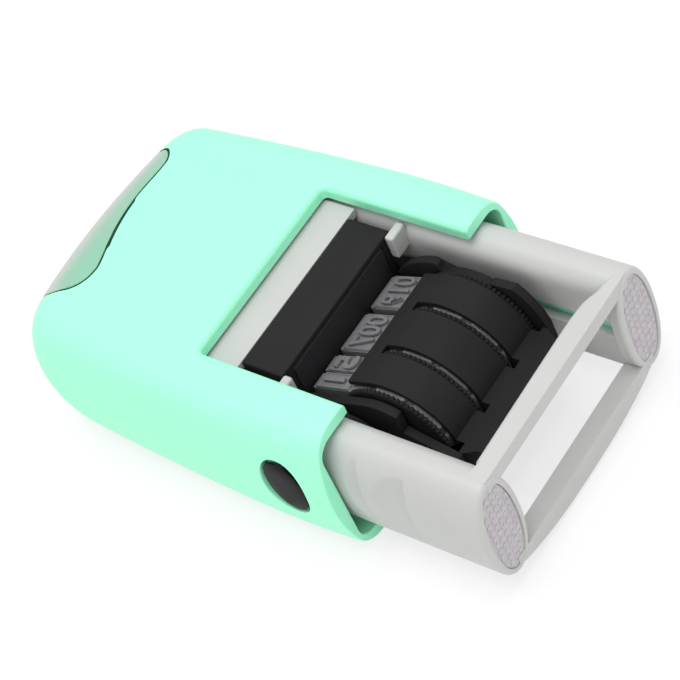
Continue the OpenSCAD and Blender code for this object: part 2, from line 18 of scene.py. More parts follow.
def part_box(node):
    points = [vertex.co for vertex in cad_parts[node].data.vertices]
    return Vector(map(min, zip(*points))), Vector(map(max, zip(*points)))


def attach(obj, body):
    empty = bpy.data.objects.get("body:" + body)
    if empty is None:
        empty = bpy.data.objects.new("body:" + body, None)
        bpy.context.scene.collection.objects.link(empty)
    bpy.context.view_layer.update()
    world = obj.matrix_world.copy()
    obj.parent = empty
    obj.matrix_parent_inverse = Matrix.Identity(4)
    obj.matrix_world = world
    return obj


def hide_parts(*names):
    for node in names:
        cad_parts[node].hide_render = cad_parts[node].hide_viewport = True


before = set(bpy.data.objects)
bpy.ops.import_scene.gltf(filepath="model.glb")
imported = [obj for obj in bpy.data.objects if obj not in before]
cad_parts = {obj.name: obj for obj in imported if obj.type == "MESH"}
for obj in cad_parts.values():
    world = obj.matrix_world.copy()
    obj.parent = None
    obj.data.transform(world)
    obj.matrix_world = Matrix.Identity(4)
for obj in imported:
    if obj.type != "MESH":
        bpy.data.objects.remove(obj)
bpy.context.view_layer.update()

MM = 0.001
LOG = logging.getLogger("date_stamp")


# Past every face of the stamp, for a cutter, and the least distance that counts, both in millimetres
FAR = 30
TINY = 0.01

Point = tuple[float, float]
Spot = tuple[float, float, float]
Colour = tuple[float, float, float]
SIDES = ((-1, "left"), (1, "right"))


class Axis(Enum):
    """Direction along which an outline is drawn out."""

    X = 0
    Y = 1
    Z = 2


class Cut(Enum):
    """How one solid works on another."""

    REMOVE = "DIFFERENCE"
    ADD = "UNION"
    KEEP = "INTERSECT"


@dataclass(frozen=True)
class Datum:
    """Where the mouth and the middle plane of the cover lie in the row frame."""

    mouth_y: float
    mid_z: float

    @classmethod
    def of_frame(cls) -> "Datum":
        """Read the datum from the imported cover."""
        low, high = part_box("cover_shell")
        return cls(low.y / MM, (low.z + high.z) / 2 / MM)

    def matrix(self) -> Matrix:
        """Return the matrix from the scene's millimetres to the row frame."""
        return Matrix.Scale(MM, 4) @ Matrix.Translation((0, self.mouth_y, self.mid_z))


DATUM = Datum.of_frame()


# Outlines

def arc(centre: Point, radius: float, start: float, end: float, steps: int = 12) -> list[Point]:
    """Return points on an arc.

    Args:
        centre: Middle of the arc.
        radius: Its radius.
        start: First angle in degrees.
        end: Last angle in degrees.
        steps: Number of chords.

    Returns:
        The points from start to end, both included.
    """
    angles = [math.radians(start + (end - start) * k / steps) for k in range(steps + 1)]
    return [(centre[0] + radius * math.cos(a), centre[1] + radius * math.sin(a)) for a in angles]


def rounded_box(low: Point, high: Point, radius: float, steps: int = 6) -> list[Point]:
    """Return a rectangle with round corners.

    Args:
        low: Its lowest corner.
        high: Its highest corner.
        radius: Radius of its corners.
        steps: Number of chords in each corner.

    Returns:
        The points, counted counter-clockwise.
    """
    (x0, y0), (x1, y1) = low, high
    corners = [((x1, y1), 0), ((x0, y1), 90), ((x0, y0), 180), ((x1, y0), 270)]
    points: list[Point] = []
    for (x, y), turn in corners:
        hub_x = x - math.copysign(radius, x - (x0 + x1) / 2)
        hub_y = y - math.copysign(radius, y - (y0 + y1) / 2)
        points += arc((hub_x, hub_y), radius, turn, turn + 90, steps)
    return points


def full(value: float, power: float) -> float:
    """Return a cosine or a sine made fuller, as on an oval that is squarer than an ellipse."""
    return math.copysign(abs(value) ** (2 / power), value)


def oval(centre: Point, half_x: float, half_y: float, power: float = 2.2, steps: int = 64) -> list[Point]:
    """Return a closed oval.

    Args:
        centre: Its middle.
        half_x: Half of its first size.
        half_y: Half of its second size.
        power: 2 for an ellipse, more for a squarer oval.
        steps: Number of points.

    Returns:
        The points, counted counter-clockwise.
    """
    turns = [2 * math.pi * k / steps for k in range(steps)]
    return [(centre[0] + half_x * full(math.cos(a), power), centre[1] + half_y * full(math.sin(a), power))
            for a in turns]


def smooth_line(points: Sequence[Point], steps: int = 4) -> list[Point]:
    """Return a smooth curve through points.

    Args:
        points: Points that the curve passes through, ends included.
        steps: Number of chords from each point to the next.

    Returns:
        The points of the curve.
    """
    padded = [points[0], *points, points[-1]]
    curve: list[Point] = []
    for a, b, c, d in zip(padded, padded[1:], padded[2:], padded[3:]):
        for k in range(steps):
            t = k / steps
            curve.append(tuple(
                0.5 * (2 * q + (r - p) * t + (2 * p - 5 * q + 4 * r - s) * t ** 2
                       + (3 * q - p - 3 * r + s) * t ** 3)
                for p, q, r, s in zip(a, b, c, d)))
    return [*curve, points[-1]]


# Meshes

class Form:
    """A bmesh in millimetres, with the operations that the pieces share."""

    def __init__(self) -> None:
        """Start an empty form."""
        self.bm = bmesh.new()

    def prism(self, outline: Sequence[Point], axis: Axis, start: float, depth: float) -> "Form":
        """Draw an outline out along an axis.

        Args:
            outline: Points in the two other axes, in X, Y, Z order.
            axis: Direction of the depth.
            start: Where the first face lies.
            depth: How far the outline is drawn out.

        Returns:
            This form.
        """
        verts = []
        for a, b in outline:
            place = [a, b]
            place.insert(axis.value, start)
            verts.append(self.bm.verts.new(place))
        face = self.bm.faces.new(verts)
        made = bmesh.ops.extrude_face_region(self.bm, geom=[face])["geom"]
        step = Vector((0, 0, 0))
        step[axis.value] = depth
        moved = [g for g in made if isinstance(g, bmesh.types.BMVert)]
        bmesh.ops.translate(self.bm, vec=step, verts=moved)
        bmesh.ops.recalc_face_normals(self.bm, faces=self.bm.faces)
        return self

    def box(self, low: Sequence[float], high: Sequence[float]) -> "Form":
        """Add a box between two corners.

        Args:
            low: Its lowest corner.
            high: Its highest corner.

        Returns:
            This form.
        """
        middle = [(a + b) / 2 for a, b in zip(low, high)]
        size = [b - a for a, b in zip(low, high)]
        place = Matrix.Translation(middle) @ Matrix.Diagonal((*size, 1))
        bmesh.ops.create_cube(self.bm, size=1, matrix=place)
        return self

    def rod(self, axis: Axis, start: Sequence[float], radius: float, length: float,
            steps: int = 32) -> "Form":
        """Add a round bar.

        Args:
            axis: Direction in which it runs.
            start: Middle of its first end.
            radius: Its radius.
            length: Its length.
            steps: Number of faces round it.

        Returns:
            This form.
        """
        turn = {Axis.X: Matrix.Rotation(math.pi / 2, 4, "Y"), Axis.Y: Matrix.Rotation(-math.pi / 2, 4, "X"),
                Axis.Z: Matrix.Identity(4)}[axis]
        place = Matrix.Translation(start) @ turn @ Matrix.Translation((0, 0, length / 2))
        bmesh.ops.create_cone(self.bm, cap_ends=True, segments=steps, radius1=radius, radius2=radius,
                              depth=length, matrix=place)
        return self

    def soften(self, width: float, segments: int = 2, sharper: float = 35,
               where: Callable[[Vector], bool] | None = None) -> "Form":
        """Round the sharp edges.

        Args:
            width: Width of the rounding.
            segments: Number of faces across it.
            sharper: Only edges that turn by more degrees than this.
            where: Optional test that both ends of an edge have to pass.

        Returns:
            This form.
        """
        edges = [e for e in self.bm.edges
                 if len(e.link_faces) == 2 and e.calc_face_angle(0) > math.radians(sharper)
                 and (where is None or all(where(v.co) for v in e.verts))]
        if edges:
            bmesh.ops.bevel(self.bm, geom=edges, offset=width, offset_type="OFFSET", segments=segments,
                            profile=0.5, affect="EDGES", clamp_overlap=False, material=-1)
        return self

    def mirrored(self, axis: Axis) -> "Form":
        """Turn the form into its mirror image across the middle.

        Args:
            axis: Direction in which it is turned over.

        Returns:
            This form.
        """
        factors = [1, 1, 1]
        factors[axis.value] = -1
        bmesh.ops.transform(self.bm, matrix=Matrix.Diagonal((*factors, 1)), verts=self.bm.verts)
        bmesh.ops.reverse_faces(self.bm, faces=self.bm.faces)
        return self

    def moved(self, matrix: Matrix) -> "Form":
        """Move the whole form."""
        bmesh.ops.transform(self.bm, matrix=matrix, verts=self.bm.verts)
        return self

    def joined(self, other: "Form") -> "Form":
        """Take over another form's faces as they are.

        Args:
            other: The form whose faces are added. It stays as it is.

        Returns:
            This form.
        """
        spare = bpy.data.meshes.new("spare")
        other.bm.to_mesh(spare)
        self.bm.from_mesh(spare)
        bpy.data.meshes.remove(spare)
        return self

    def copy(self) -> "Form":
        """Return a copy."""
        twin = Form()
        twin.bm = self.bm.copy()
        return twin

    def as_object(self, name: str) -> bpy.types.Object:
        """Return an object with this form's mesh, for a Boolean.

        Args:
            name: Name of the object.

        Returns:
            The object, linked to the scene.
        """
        mesh = bpy.data.meshes.new(name)
        self.bm.to_mesh(mesh)
        made = bpy.data.objects.new(name, mesh)
        bpy.context.scene.collection.objects.link(made)
        return made

    @staticmethod
    def of_object(item: bpy.types.Object) -> "Form":
        """Return a form with an object's finished mesh, and remove the object.

        Args:
            item: The object, which goes.

        Returns:
            The form.
        """
        bpy.context.view_layer.update()
        mesh = bpy.data.meshes.new_from_object(item.evaluated_get(bpy.context.evaluated_depsgraph_get()))
        form = Form()
        form.bm.from_mesh(mesh)
        bpy.data.objects.remove(item)
        bpy.data.meshes.remove(mesh)
        return form

    def worked(self, tool: "Form", how: Cut) -> "Form":
        """Return the result of a Boolean.

        Args:
            tool: The form that works on this one.
            how: What it does to it.

        Returns:
            A new form. Both others stay as they are.
        """
        base, other = self.as_object("base"), tool.as_object("tool")
        change = base.modifiers.new("change", "BOOLEAN")
        change.operation, change.solver, change.object = how.value, "EXACT", other
        spare = (base.data, other.data)
        result = Form.of_object(base)
        bpy.data.objects.remove(other)
        for mesh in spare:
            bpy.data.meshes.remove(mesh)
        bmesh.ops.remove_doubles(result.bm, verts=result.bm.verts, dist=1e-4)
        bmesh.ops.dissolve_degenerate(result.bm, edges=result.bm.edges, dist=1e-4)
        return result

    def less(self, *tools: "Form") -> "Form":
        """Cut other forms out of this one.

        Args:
            tools: What is cut out, in this order.

        Returns:
            A new form.
        """
        result = self
        for tool in tools:
            result = result.worked(tool, Cut.REMOVE)
        return result

    def plus(self, *tools: "Form") -> "Form":
        """Fuse other forms to this one.

        Args:
            tools: What is fused on, in this order.

        Returns:
            A new form.
        """
        result = self
        for tool in tools:
            result = result.worked(tool, Cut.ADD)
        return result

    def finish(self, name: str, body: str, finish: "Finish", stands_for: Sequence[str] = (),
               smooth: float = 32) -> bpy.types.Object:
        """Make the form a piece of the scene.

        Args:
            name: Name of the piece.
            body: The body that it rides on.
            finish: What it is made of.
            stands_for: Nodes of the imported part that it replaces.
            smooth: Edges that turn by more degrees than this stay sharp.

        Returns:
            The new object.
        """
        bmesh.ops.remove_doubles(self.bm, verts=self.bm.verts, dist=1e-4)
        mesh = bpy.data.meshes.new(name)
        self.bm.transform(DATUM.matrix())
        self.bm.to_mesh(mesh)
        self.bm.free()
        mesh.polygons.foreach_set("use_smooth", [True] * len(mesh.polygons))
        mesh.set_sharp_from_angle(angle=math.radians(smooth))
        piece = bpy.data.objects.new(name, mesh)
        bpy.context.scene.collection.objects.link(piece)
        level = piece.modifiers.new("level", "WEIGHTED_NORMAL")
        level.keep_sharp = True
        mesh.materials.append(finish.material())
        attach(piece, body)
        if stands_for:
            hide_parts(*stands_for)
        LOG.info("%s: %d faces", name, len(mesh.polygons))
        return piece


# Shading

class Value:
    """A number socket that takes part in Python expressions."""

    def __init__(self, shop: "Nodes", socket: bpy.types.NodeSocket) -> None:
        """Wrap a socket of a node tree."""
        self.shop, self.socket = shop, socket

    def _with(self, operation: str, first: object, second: object) -> "Value":
        """Add a Math node between two values."""
        return self.shop.add("Math", {"operation": operation}, {0: first, 1: second}).out(0)

    def __add__(self, other: object) -> "Value":
        """Add."""
        return self._with("ADD", self, other)

    __radd__ = __add__

    def __mul__(self, other: object) -> "Value":
        """Multiply."""
        return self._with("MULTIPLY", self, other)

    __rmul__ = __mul__

    def __sub__(self, other: object) -> "Value":
        """Take away."""
        return self._with("SUBTRACT", self, other)

    def __rsub__(self, other: object) -> "Value":
        """Take this away from a number."""
        return self._with("SUBTRACT", other, self)

    def __pow__(self, other: object) -> "Value":
        """Raise to a power."""
        return self._with("POWER", self, other)

    def clipped(self) -> "Value":
        """Keep between 0 and 1."""
        return self.shop.add("Clamp", {}, {0: self}).out(0)


class Nodes:
    """Adds nodes to the tree of one material or world."""

    def __init__(self, owner: bpy.types.Material | bpy.types.World, kind: str) -> None:
        """Empty the tree, and give it an output of its kind.

        Args:
            owner: The material or world.
            kind: Type name of its output after ShaderNodeOutput.
        """
        owner.use_nodes = True
        self.tree = owner.node_tree
        self.tree.nodes.clear()
        self.last: bpy.types.Node | None = None
        self.output = self.tree.nodes.new("ShaderNodeOutput" + kind)

    def add(self, kind: str, settings: dict[str, object], inputs: dict[int | str, object]) -> "Nodes":
        """Add a node of any type.

        Args:
            kind: Type name after ShaderNode.
            settings: Properties, which are set first.
            inputs: Values or links of its sockets.

        Returns:
            This shop, with the new node as the last one.
        """
        self.last = self.tree.nodes.new("ShaderNode" + kind)
        for key, value in settings.items():
            setattr(self.last, key, value)
        self.fill(self.last, inputs)
        return self

    def fill(self, node: bpy.types.Node, inputs: dict[int | str, object]) -> None:
        """Give sockets of a node their values or links.

        Args:
            node: The node.
            inputs: Values or links, by the socket's number or name.
        """
        for key, value in inputs.items():
            if isinstance(value, Value):
                self.tree.links.new(value.socket, node.inputs[key])
            else:
                node.inputs[key].default_value = value

    def out(self, key: int | str) -> Value:
        """Return an output of the last node."""
        return Value(self, self.last.outputs[key])

    def mix(self, factor: Value, one: Value, two: Value) -> Value:
        """Return a mix of two shaders."""
        return self.add("MixShader", {}, {0: factor, 1: one, 2: two}).out(0)

    def show(self, shader: Value) -> None:
        """Lead a shader to the output."""
        self.fill(self.output, {0: shader})

    def place(self, scale: Sequence[float] = (1, 1, 1)) -> Value:
        """Return object coordinates, stretched by a scale."""
        spot = self.add("TexCoord", {}, {}).out("Object")
        return self.add("Mapping", {}, {"Vector": spot, "Scale": tuple(scale)}).out(0)

    def noise(self, size: float, detail: float = 3, stretch: Sequence[float] = (1, 1, 1)) -> Value:
        """Return noise.

        Args:
            size: Width of its grains in millimetres, about.
            detail: How fine it gets inside a grain.
            stretch: Scale along each axis; less than 1 draws the grains out.

        Returns:
            The noise, from 0 to 1.
        """
        return self.add("TexNoise", {}, {"Vector": self.place(stretch), "Scale": 1 / (size * MM),
                                         "Detail": detail}).out("Fac")

    def blend(self, factor: Value, one: Colour, two: Colour) -> Value:
        """Return a mix of two colours, in the sockets that a Mix node has for colours."""
        self.add("Mix", {"data_type": "RGBA"}, {0: factor, 6: (*one, 1), 7: (*two, 1)})
        return self.out(2)

    def bump(self, height: Value, strength: float, distance: float) -> Value:
        """Return a bumped normal; distance is in millimetres."""
        return self.add("Bump", {}, {"Strength": strength, "Distance": distance * MM,
                                     "Height": height}).out(0)

    def body(self, **sockets: object) -> Value:
        """Return a Principled shader; an underscore in a socket's name stands for a space."""
        named = {key.replace("_", " "): value for key, value in sockets.items()}
        return self.add("BsdfPrincipled", {}, named).out(0)


def srgb(red: int, green: int, blue: int) -> Colour:
    """Return the linear colour of a value from 0 to 255 on a screen."""
    parts = (c / 255 for c in (red, green, blue))
    return tuple(c / 12.92 if c <= 0.04045 else ((c + 0.055) / 1.055) ** 2.4 for c in parts)


def shaded(colour: Colour, share: float, lift: float = 0) -> Colour:
    """Return a colour at a share of its strength, with an even lift on top."""
    return tuple(min(1, c * share + lift) for c in colour)


@dataclass(frozen=True)
class Finish:
    """What a piece is made of."""

    name: str
    slot: str
    colour: Colour

    def material(self) -> bpy.types.Material:
        """Return the material, made once.

        Returns:
            The material that every piece with this finish shares.
        """
        found = bpy.data.materials.get(self.name)
        if found is None:
            found = bpy.data.materials.new(self.name)
            shop = Nodes(found, "Material")
            shop.show(self.paint(shop))
        return found

    def paint(self, shop: Nodes) -> Value:
        """Return the shader of the finish."""
        raise NotImplementedError


@dataclass(frozen=True)
class MouldedPlastic(Finish):
    """Injection-moulded plastic: faint flow tone, fine spark-eroded grain, handling marks in the gloss."""

    roughness: float = 0.35
    grain: float = 0.15
    grain_depth: float = 0.004
    grain_gloss: float = 0.06
    tone: float = 0.06
    flow: float = 9
    wipe: float = 2.4
    wipe_gloss: float = 0.22
    bend: float = 1.49

    def paint(self, shop: Nodes) -> Value:
        """Return the shader of the finish.

        Args:
            shop: Where the nodes are added.

        Returns:
            The shader.
        """
        flow = shop.noise(self.flow, 2, (1, 0.4, 1))
        fine = shop.noise(self.grain, 2)
        wipe = shop.noise(self.wipe, 4, (0.5, 1, 1))
        base = self.roughness - (self.wipe_gloss + self.grain_gloss) / 2
        deep = shaded(self.colour, 1 - self.tone)
        return shop.body(
            Base_Color=shop.blend(((flow - 0.35) * 2).clipped(), deep, self.colour),
            Roughness=(wipe * self.wipe_gloss + fine * self.grain_gloss + base).clipped(),
            Normal=shop.bump(fine, 0.6, self.grain_depth), IOR=self.bend)


@dataclass(frozen=True)
class SoftRubber(Finish):
    """Moulded rubber: dull, speckled with pores and a little dust."""

    roughness: float = 0.75
    pore: float = 0.09
    pore_depth: float = 0.012
    dust: float = 1.1
    bend: float = 1.45

    def paint(self, shop: Nodes) -> Value:
        """Return the shader of the finish.

        Args:
            shop: Where the nodes are added.

        Returns:
            The shader.
        """
        dust = shop.noise(self.dust, 5)
        pores = shop.noise(self.pore, 2)
        light = shaded(self.colour, 1.18, 0.004)
        return shop.body(
            Base_Color=shop.blend(((dust - 0.4) * 2.5).clipped(), self.colour, light),
            Roughness=(pores * 0.2 + (self.roughness - 0.1)).clipped(),
            Normal=shop.bump(pores, 0.8, self.pore_depth), IOR=self.bend)


@dataclass(frozen=True)
class InkedFelt(Finish):
    """Felt that is soaked with ink: tangled fibres, wet in places."""

    fibre: float = 0.22
    fibre_depth: float = 0.05
    ink: Colour = (0.02, 0.02, 0.024)
    puddle: float = 2.5

    def paint(self, shop: Nodes) -> Value:
        """Return the shader of the finish.

        Args:
            shop: Where the nodes are added.

        Returns:
            The shader.
        """
        fibres = shop.noise(self.fibre, 6, (1, 3, 1))
        wet = shop.noise(self.puddle, 2)
        return shop.body(Base_Color=shop.blend(fibres, self.colour, self.ink),
                         Roughness=(wet * -0.5 + 0.9).clipped(),
                         Normal=shop.bump(fibres, 1.0, self.fibre_depth))


@dataclass(frozen=True)
class ClearPlastic(Finish):
    """Clear polished plastic with faint scuffs, which turns pale where it is seen from the side."""

    alpha: float = 0.35
    scuff: float = 0.5
    scuff_depth: float = 0.004
    rim: Colour = (0.76, 0.68, 0.71)
    rim_power: float = 2.5
    bend: float = 1.49

    def paint(self, shop: Nodes) -> Value:
        """Return the shader of the finish.

        Args:
            shop: Where the nodes are added.

        Returns:
            The shader.
        """
        scuffs = shop.noise(self.scuff, 5, (3, 0.6, 1))
        body = shop.body(Base_Color=(*self.colour, 1),
                         Alpha=(scuffs * 0.08 + (self.alpha - 0.04)).clipped(),
                         Roughness=(scuffs * 0.1 + 0.12).clipped(),
                         Normal=shop.bump(scuffs, 0.2, self.scuff_depth), IOR=self.bend)
        edge = shop.add("LayerWeight", {}, {"Blend": 0.5}).out("Facing")
        gloss = shop.add("BsdfGlossy", {}, {"Color": (*self.rim, 1), "Roughness": 0.35}).out(0)
        return shop.mix((edge ** self.rim_power).clipped(), body, gloss)


@dataclass(frozen=True)
class DrawnSteel(Finish):
    """Bright steel with drawing lines along its length."""

    line: float = 0.12
    line_depth: float = 0.004

    def paint(self, shop: Nodes) -> Value:
        """Return the shader of the finish.

        Args:
            shop: Where the nodes are added.

        Returns:
            The shader.
        """
        lines = shop.noise(self.line, 3, (0.1, 4, 4))
        return shop.body(Base_Color=shop.blend(lines, self.colour, shaded(self.colour, 0.8)),
                         Metallic=1.0, Roughness=(lines * 0.2 + 0.2).clipped(),
                         Normal=shop.bump(lines, 0.4, self.line_depth))


@dataclass(frozen=True)
class Card(Finish):
    """Thin coated card with paper grain."""

    pulp: float = 0.4
    pulp_depth: float = 0.01

    def paint(self, shop: Nodes) -> Value:
        """Return the shader of the finish.

        Args:
            shop: Where the nodes are added.

        Returns:
            The shader.
        """
        pulp = shop.noise(self.pulp, 6, (1, 2, 1))
        return shop.body(Base_Color=shop.blend(pulp, self.colour, shaded(self.colour, 0.9)),
                         Roughness=(pulp * 0.2 + 0.5).clipped(),
                         Normal=shop.bump(pulp, 0.4, self.pulp_depth))


MINT = MouldedPlastic("mint_shell", "mint_plastic", srgb(158, 252, 209), roughness=0.45, tone=0.02,
                      grain=0.2, grain_depth=0.003)
GREY = MouldedPlastic("pale_frame", "grey_plastic", srgb(190, 191, 189), roughness=0.42, tone=0.04)
BLACK = MouldedPlastic("black_mechanism", "black_plastic", srgb(33, 33, 33), roughness=0.62, tone=0.18,
                       grain_depth=0.006, bend=1.24)
DARK = MouldedPlastic("dark_button", "black_plastic", srgb(13, 10, 14), roughness=0.5, tone=0.1,
                      bend=1.24)
TRAY = MouldedPlastic("tray_black", "tray_plastic", srgb(30, 30, 30), roughness=0.66, tone=0.15,
                      grain_depth=0.008, bend=1.3)
TYPE = SoftRubber("type_grey", "type_rubber", srgb(114, 114, 116))
PAD = SoftRubber("foot_grey", "foot_rubber", srgb(184, 179, 183), roughness=0.7)
# Dark green painted shade, for the strip that darkens the deep gap round the clear cap where shadow falls
GAP_SHADE = MouldedPlastic("cap_gap_painted_shade", "mint_plastic", srgb(26, 58, 48), roughness=0.7, bend=1.3)
FELT = InkedFelt("ink_felt_black", "ink_felt", srgb(18, 18, 20))
CLEAR = ClearPlastic("clear_cap_plastic", "clear_plastic", srgb(138, 203, 172), alpha=0.85)
STEEL = DrawnSteel("spring_steel", "steel", srgb(190, 190, 195))
PAPER = Card("card_paper", "card", srgb(176, 206, 194))


# Sub-assemblies

@dataclass
class Cover:
    """The mint cover with its clear cap and its two lock buttons.

    The section of a side has the radius bow in its middle and edge at front and back. In plan, a side
    has the radius plan_bow, the closed end end_bow and the arcs between them corner. The closed end is
    rounded over the distance nose, with nose_power as its fullness: in the corners, and in its middle.
    """

    width: float = 44
    length: float = 53.6
    thick: float = 21.4
    corner: float = 9.5
    edge: float = 4
    bow: float = 24
    plan_bow: float = 485
    mouth_in: float = 0.5
    mouth_run: float = 14
    mouth_soft: float = 0.22
    end_bow: float = 88
    nose: Point = (9.2, 11.4)
    nose_power: Point = (1.9, 2.15)
    wall_face: float = 1.8
    wall_side: float = 2.4
    wall_least: float = 1.1
    room_corner: float = 2.2
    room_end: float = 44.05
    room_plain: float = 22.05
    window_half: float = 13.4
    window_end: float = 21.7
    window_round: float = 0.7
    window_soft: float = 0.8
    cap_half: float = 12.5
    cap_deep: float = 10.75
    cap_wall: float = 0.8
    cap_soft: float = 0.12
    under_cap: float = 1.1
    seam: float = 0.32
    # How far in the strip of painted shade lies in the gap round the cap
    shade_strip_deep: float = 0.07
    nick: float = 0.2
    nick_span: Point = (-4.2, 3.6)
    lobe: Point = (5.0, 4.9)
    far_lobe: Point = (2.6, 2.45)
    crest_x: float = 4.0
    crest_up: float = 2.5
    crest_dip: float = 0.45
    rise_bend: float = 0.7
    lobe_power: float = 2 / 0.909
    card_gap: float = 0.03
    card_in: float = 0.3
    card_up: float = 5
    bridge_at: float = 48.7
    loft_half: Point = (13.2, 7.8)
    loft_start: float = 30
    loft_end: float = 50.7
    loft_wall: float = 1.7
    button_at: float = 6.7
    button_z: float = 1.1
    button_half: Point = (2.75, 4.4)
    button_thick: float = 0.35
    button_sunk: float = 0.6
    button_dome: tuple[Point, ...] = ((0.35, -0.14), (0.7, -0.1), (0.9, -0.05))
    well_deep: float = 2.05
    well_gap: float = 0.36
    well_soft: float = 0.16
    tip_at: float = 7.9
    tip_sunk: float = 0.8
    tip_radius: float = 0.85
    tip_length: float = 1.4
    tip_hole: float = 1.0

    def half_width(self, y: float) -> float:
        """Return the bowed side's distance from the middle."""
        drawn = self.mouth_in * max(0, 1 - y / self.mouth_run) ** 2
        return self.width / 2 - y * y / (2 * self.plan_bow) - drawn

    def side_profile(self, inset: float) -> list[Point]:
        """Return the side's section from front to back.

        Args:
            inset: How far the form is drawn in.

        Returns:
            The points as distance inwards and Z.
        """
        shift = self.bow - self.width / 2
        z = self.thick / 2 - self.edge
        x = math.sqrt((self.bow - self.edge) ** 2 - z * z) - shift
        turn = math.degrees(math.atan2(z, x + shift))
        points = arc((x, z), self.edge - inset, 90, turn, 8)
        points += arc((-shift, 0), self.bow - inset, turn, -turn, 16)[1:-1]
        points += arc((x, -z), self.edge - inset, -turn, -90, 8)
        return [(self.width / 2 - a, b) for a, b in points]

    def end_profile(self, inset: float, count: int, middle: float) -> list[Point]:
        """Return the closed end's rounding from front to back.

        Args:
            inset: How far the form is drawn in.
            count: Number of points.
            middle: 0 in the corners, 1 in the middle of the end.

        Returns:
            The points as distance inwards and Z.
        """
        nose = self.nose[0] + (self.nose[1] - self.nose[0]) * middle
        power = self.nose_power[0] + (self.nose_power[1] - self.nose_power[0]) * middle
        points = []
        for k in range(count):
            angle = math.pi / 2 - math.pi * k / (count - 1)
            c, s = math.cos(angle), math.sin(angle)
            out = (nose - inset) * full(max(c, 0), power)
            points.append((nose - out, (self.thick / 2 - inset) * full(s, power)))
        return points

    def side_end(self) -> float:
        """Return where the bowed side meets its corner arc, so that the arc also touches the end.

        Returns:
            The place along the stroke.
        """
        y = self.length - self.corner
        for _ in range(20):
            turn = math.atan(y / self.plan_bow)
            cx = self.half_width(y) - self.corner * math.cos(turn)
            cy = self.length - self.end_bow + math.sqrt((self.end_bow - self.corner) ** 2 - cx * cx)
            y = cy + self.corner * math.sin(turn)
        return y

    def plan(self) -> list[tuple[float, float, float, float]]:
        """Return the right half of the plan, from the mouth to the middle of the closed end.

        Returns:
            X, Y, the way it faces in degrees, and how far it has left the corner, from 0 to 1.
        """
        stops: list[tuple[float, float, float, float]] = []
        side_steps, corner_steps, end_steps = 16, 24, 10
        for k in range(side_steps + 1):
            y = self.side_end() * k / side_steps
            stops.append((self.half_width(y), y, math.degrees(math.atan(y / self.plan_bow)), 0))
        x, y, start, _ = stops[-1]
        turn = math.radians(start)
        cx, cy = x - self.corner * math.cos(turn), y - self.corner * math.sin(turn)
        hub = self.length - self.end_bow
        finish = math.degrees(math.atan2(cy - hub, cx))
        radius = math.hypot(cx, cy - hub) + self.corner
        for k in range(1, corner_steps + 1):
            angle = start + (finish - start) * k / corner_steps
            px, py = arc((cx, cy), self.corner, angle, angle, 1)[0]
            stops.append((px, py, angle, 0))
        for k in range(1, end_steps + 1):
            angle = finish + (90 - finish) * k / end_steps
            px, py = arc((0, self.length - radius), radius, angle, angle, 1)[0]
            stops.append((px, py, angle, math.sin(math.pi * k / (2 * end_steps)) ** 2))
        return stops

    def solid(self, inset: float) -> Form:
        """Return the whole outer form.

        Args:
            inset: How far it is drawn in on every side but the mouth.

        Returns:
            A closed form, lofted from the mouth round the closed end.
        """
        side = self.side_profile(inset)
        right = self.plan()
        start, finish = right[0][2], next(angle for _, _, angle, middle in right if middle > 0)
        rings: list[list[Spot]] = []
        for x, y, angle, middle in right:
            end = self.end_profile(inset, len(side), middle)
            share = min(max((angle - start) / (finish - start), 0), 1)
            share = share * share * (3 - 2 * share)
            turn = math.radians(angle)
            ring = []
            for (a, z0), (b, z1) in zip(side, end):
                out = a + (b - a) * share
                ring.append((x - out * math.cos(turn), y - out * math.sin(turn), z0 + (z1 - z0) * share))
            rings.append(ring)
        rings += [[(-x, y, z) for x, y, z in ring] for ring in reversed(rings[:-1])]
        form = Form()
        bm = form.bm
        rows = [[bm.verts.new(spot) for spot in ring] for ring in rings]
        for low, high in zip(rows, rows[1:]):
            for a, b, c, d in zip(low, low[1:], high[1:], high):
                bm.faces.new((a, b, c, d))
        bm.faces.new([row[0] for row in rows])
        bm.faces.new([row[-1] for row in rows])
        bm.faces.new([*rows[0], *reversed(rows[-1])])
        bmesh.ops.recalc_face_normals(bm, faces=bm.faces)
        return form

    def cap_edge(self) -> list[Point]:
        """Return the lower edge of the clear cap: a deep lobe, a rise to a crest and a shallow lobe.

        Returns:
            The points in X and Y, from the near side to the far one.
        """
        low = self.length - self.cap_deep
        x1, x3 = self.lobe[0] - self.cap_half, self.cap_half - self.far_lobe[0]
        top = low + self.crest_up

        def wave(share: float) -> float:
            """Rise smoothly from 0 to 1."""
            return (1 - math.cos(math.pi * share)) / 2

        def corner(middle: Point, half: Point, start: float) -> list[Point]:
            """Return a quarter of an oval."""
            turns = [math.radians(start + 90 * k / 12) for k in range(13)]
            return [(middle[0] + half[0] * full(math.cos(a), self.lobe_power),
                     middle[1] + half[1] * full(math.sin(a), self.lobe_power)) for a in turns]

        edge = corner((x1, low + self.lobe[1]), self.lobe, 180)[:-1]
        rise, fall = 20, 8
        for k in range(rise):
            up = wave((k / rise) ** self.rise_bend)
            edge.append((x1 + (self.crest_x - x1) * k / rise, low + self.crest_up * up))
        for k in range(fall):
            down = wave(k / fall)
            edge.append((self.crest_x + (x3 - self.crest_x) * k / fall, top - self.crest_dip * down))
        return edge + corner((x3, top - self.crest_dip + self.far_lobe[1]), self.far_lobe, 270)

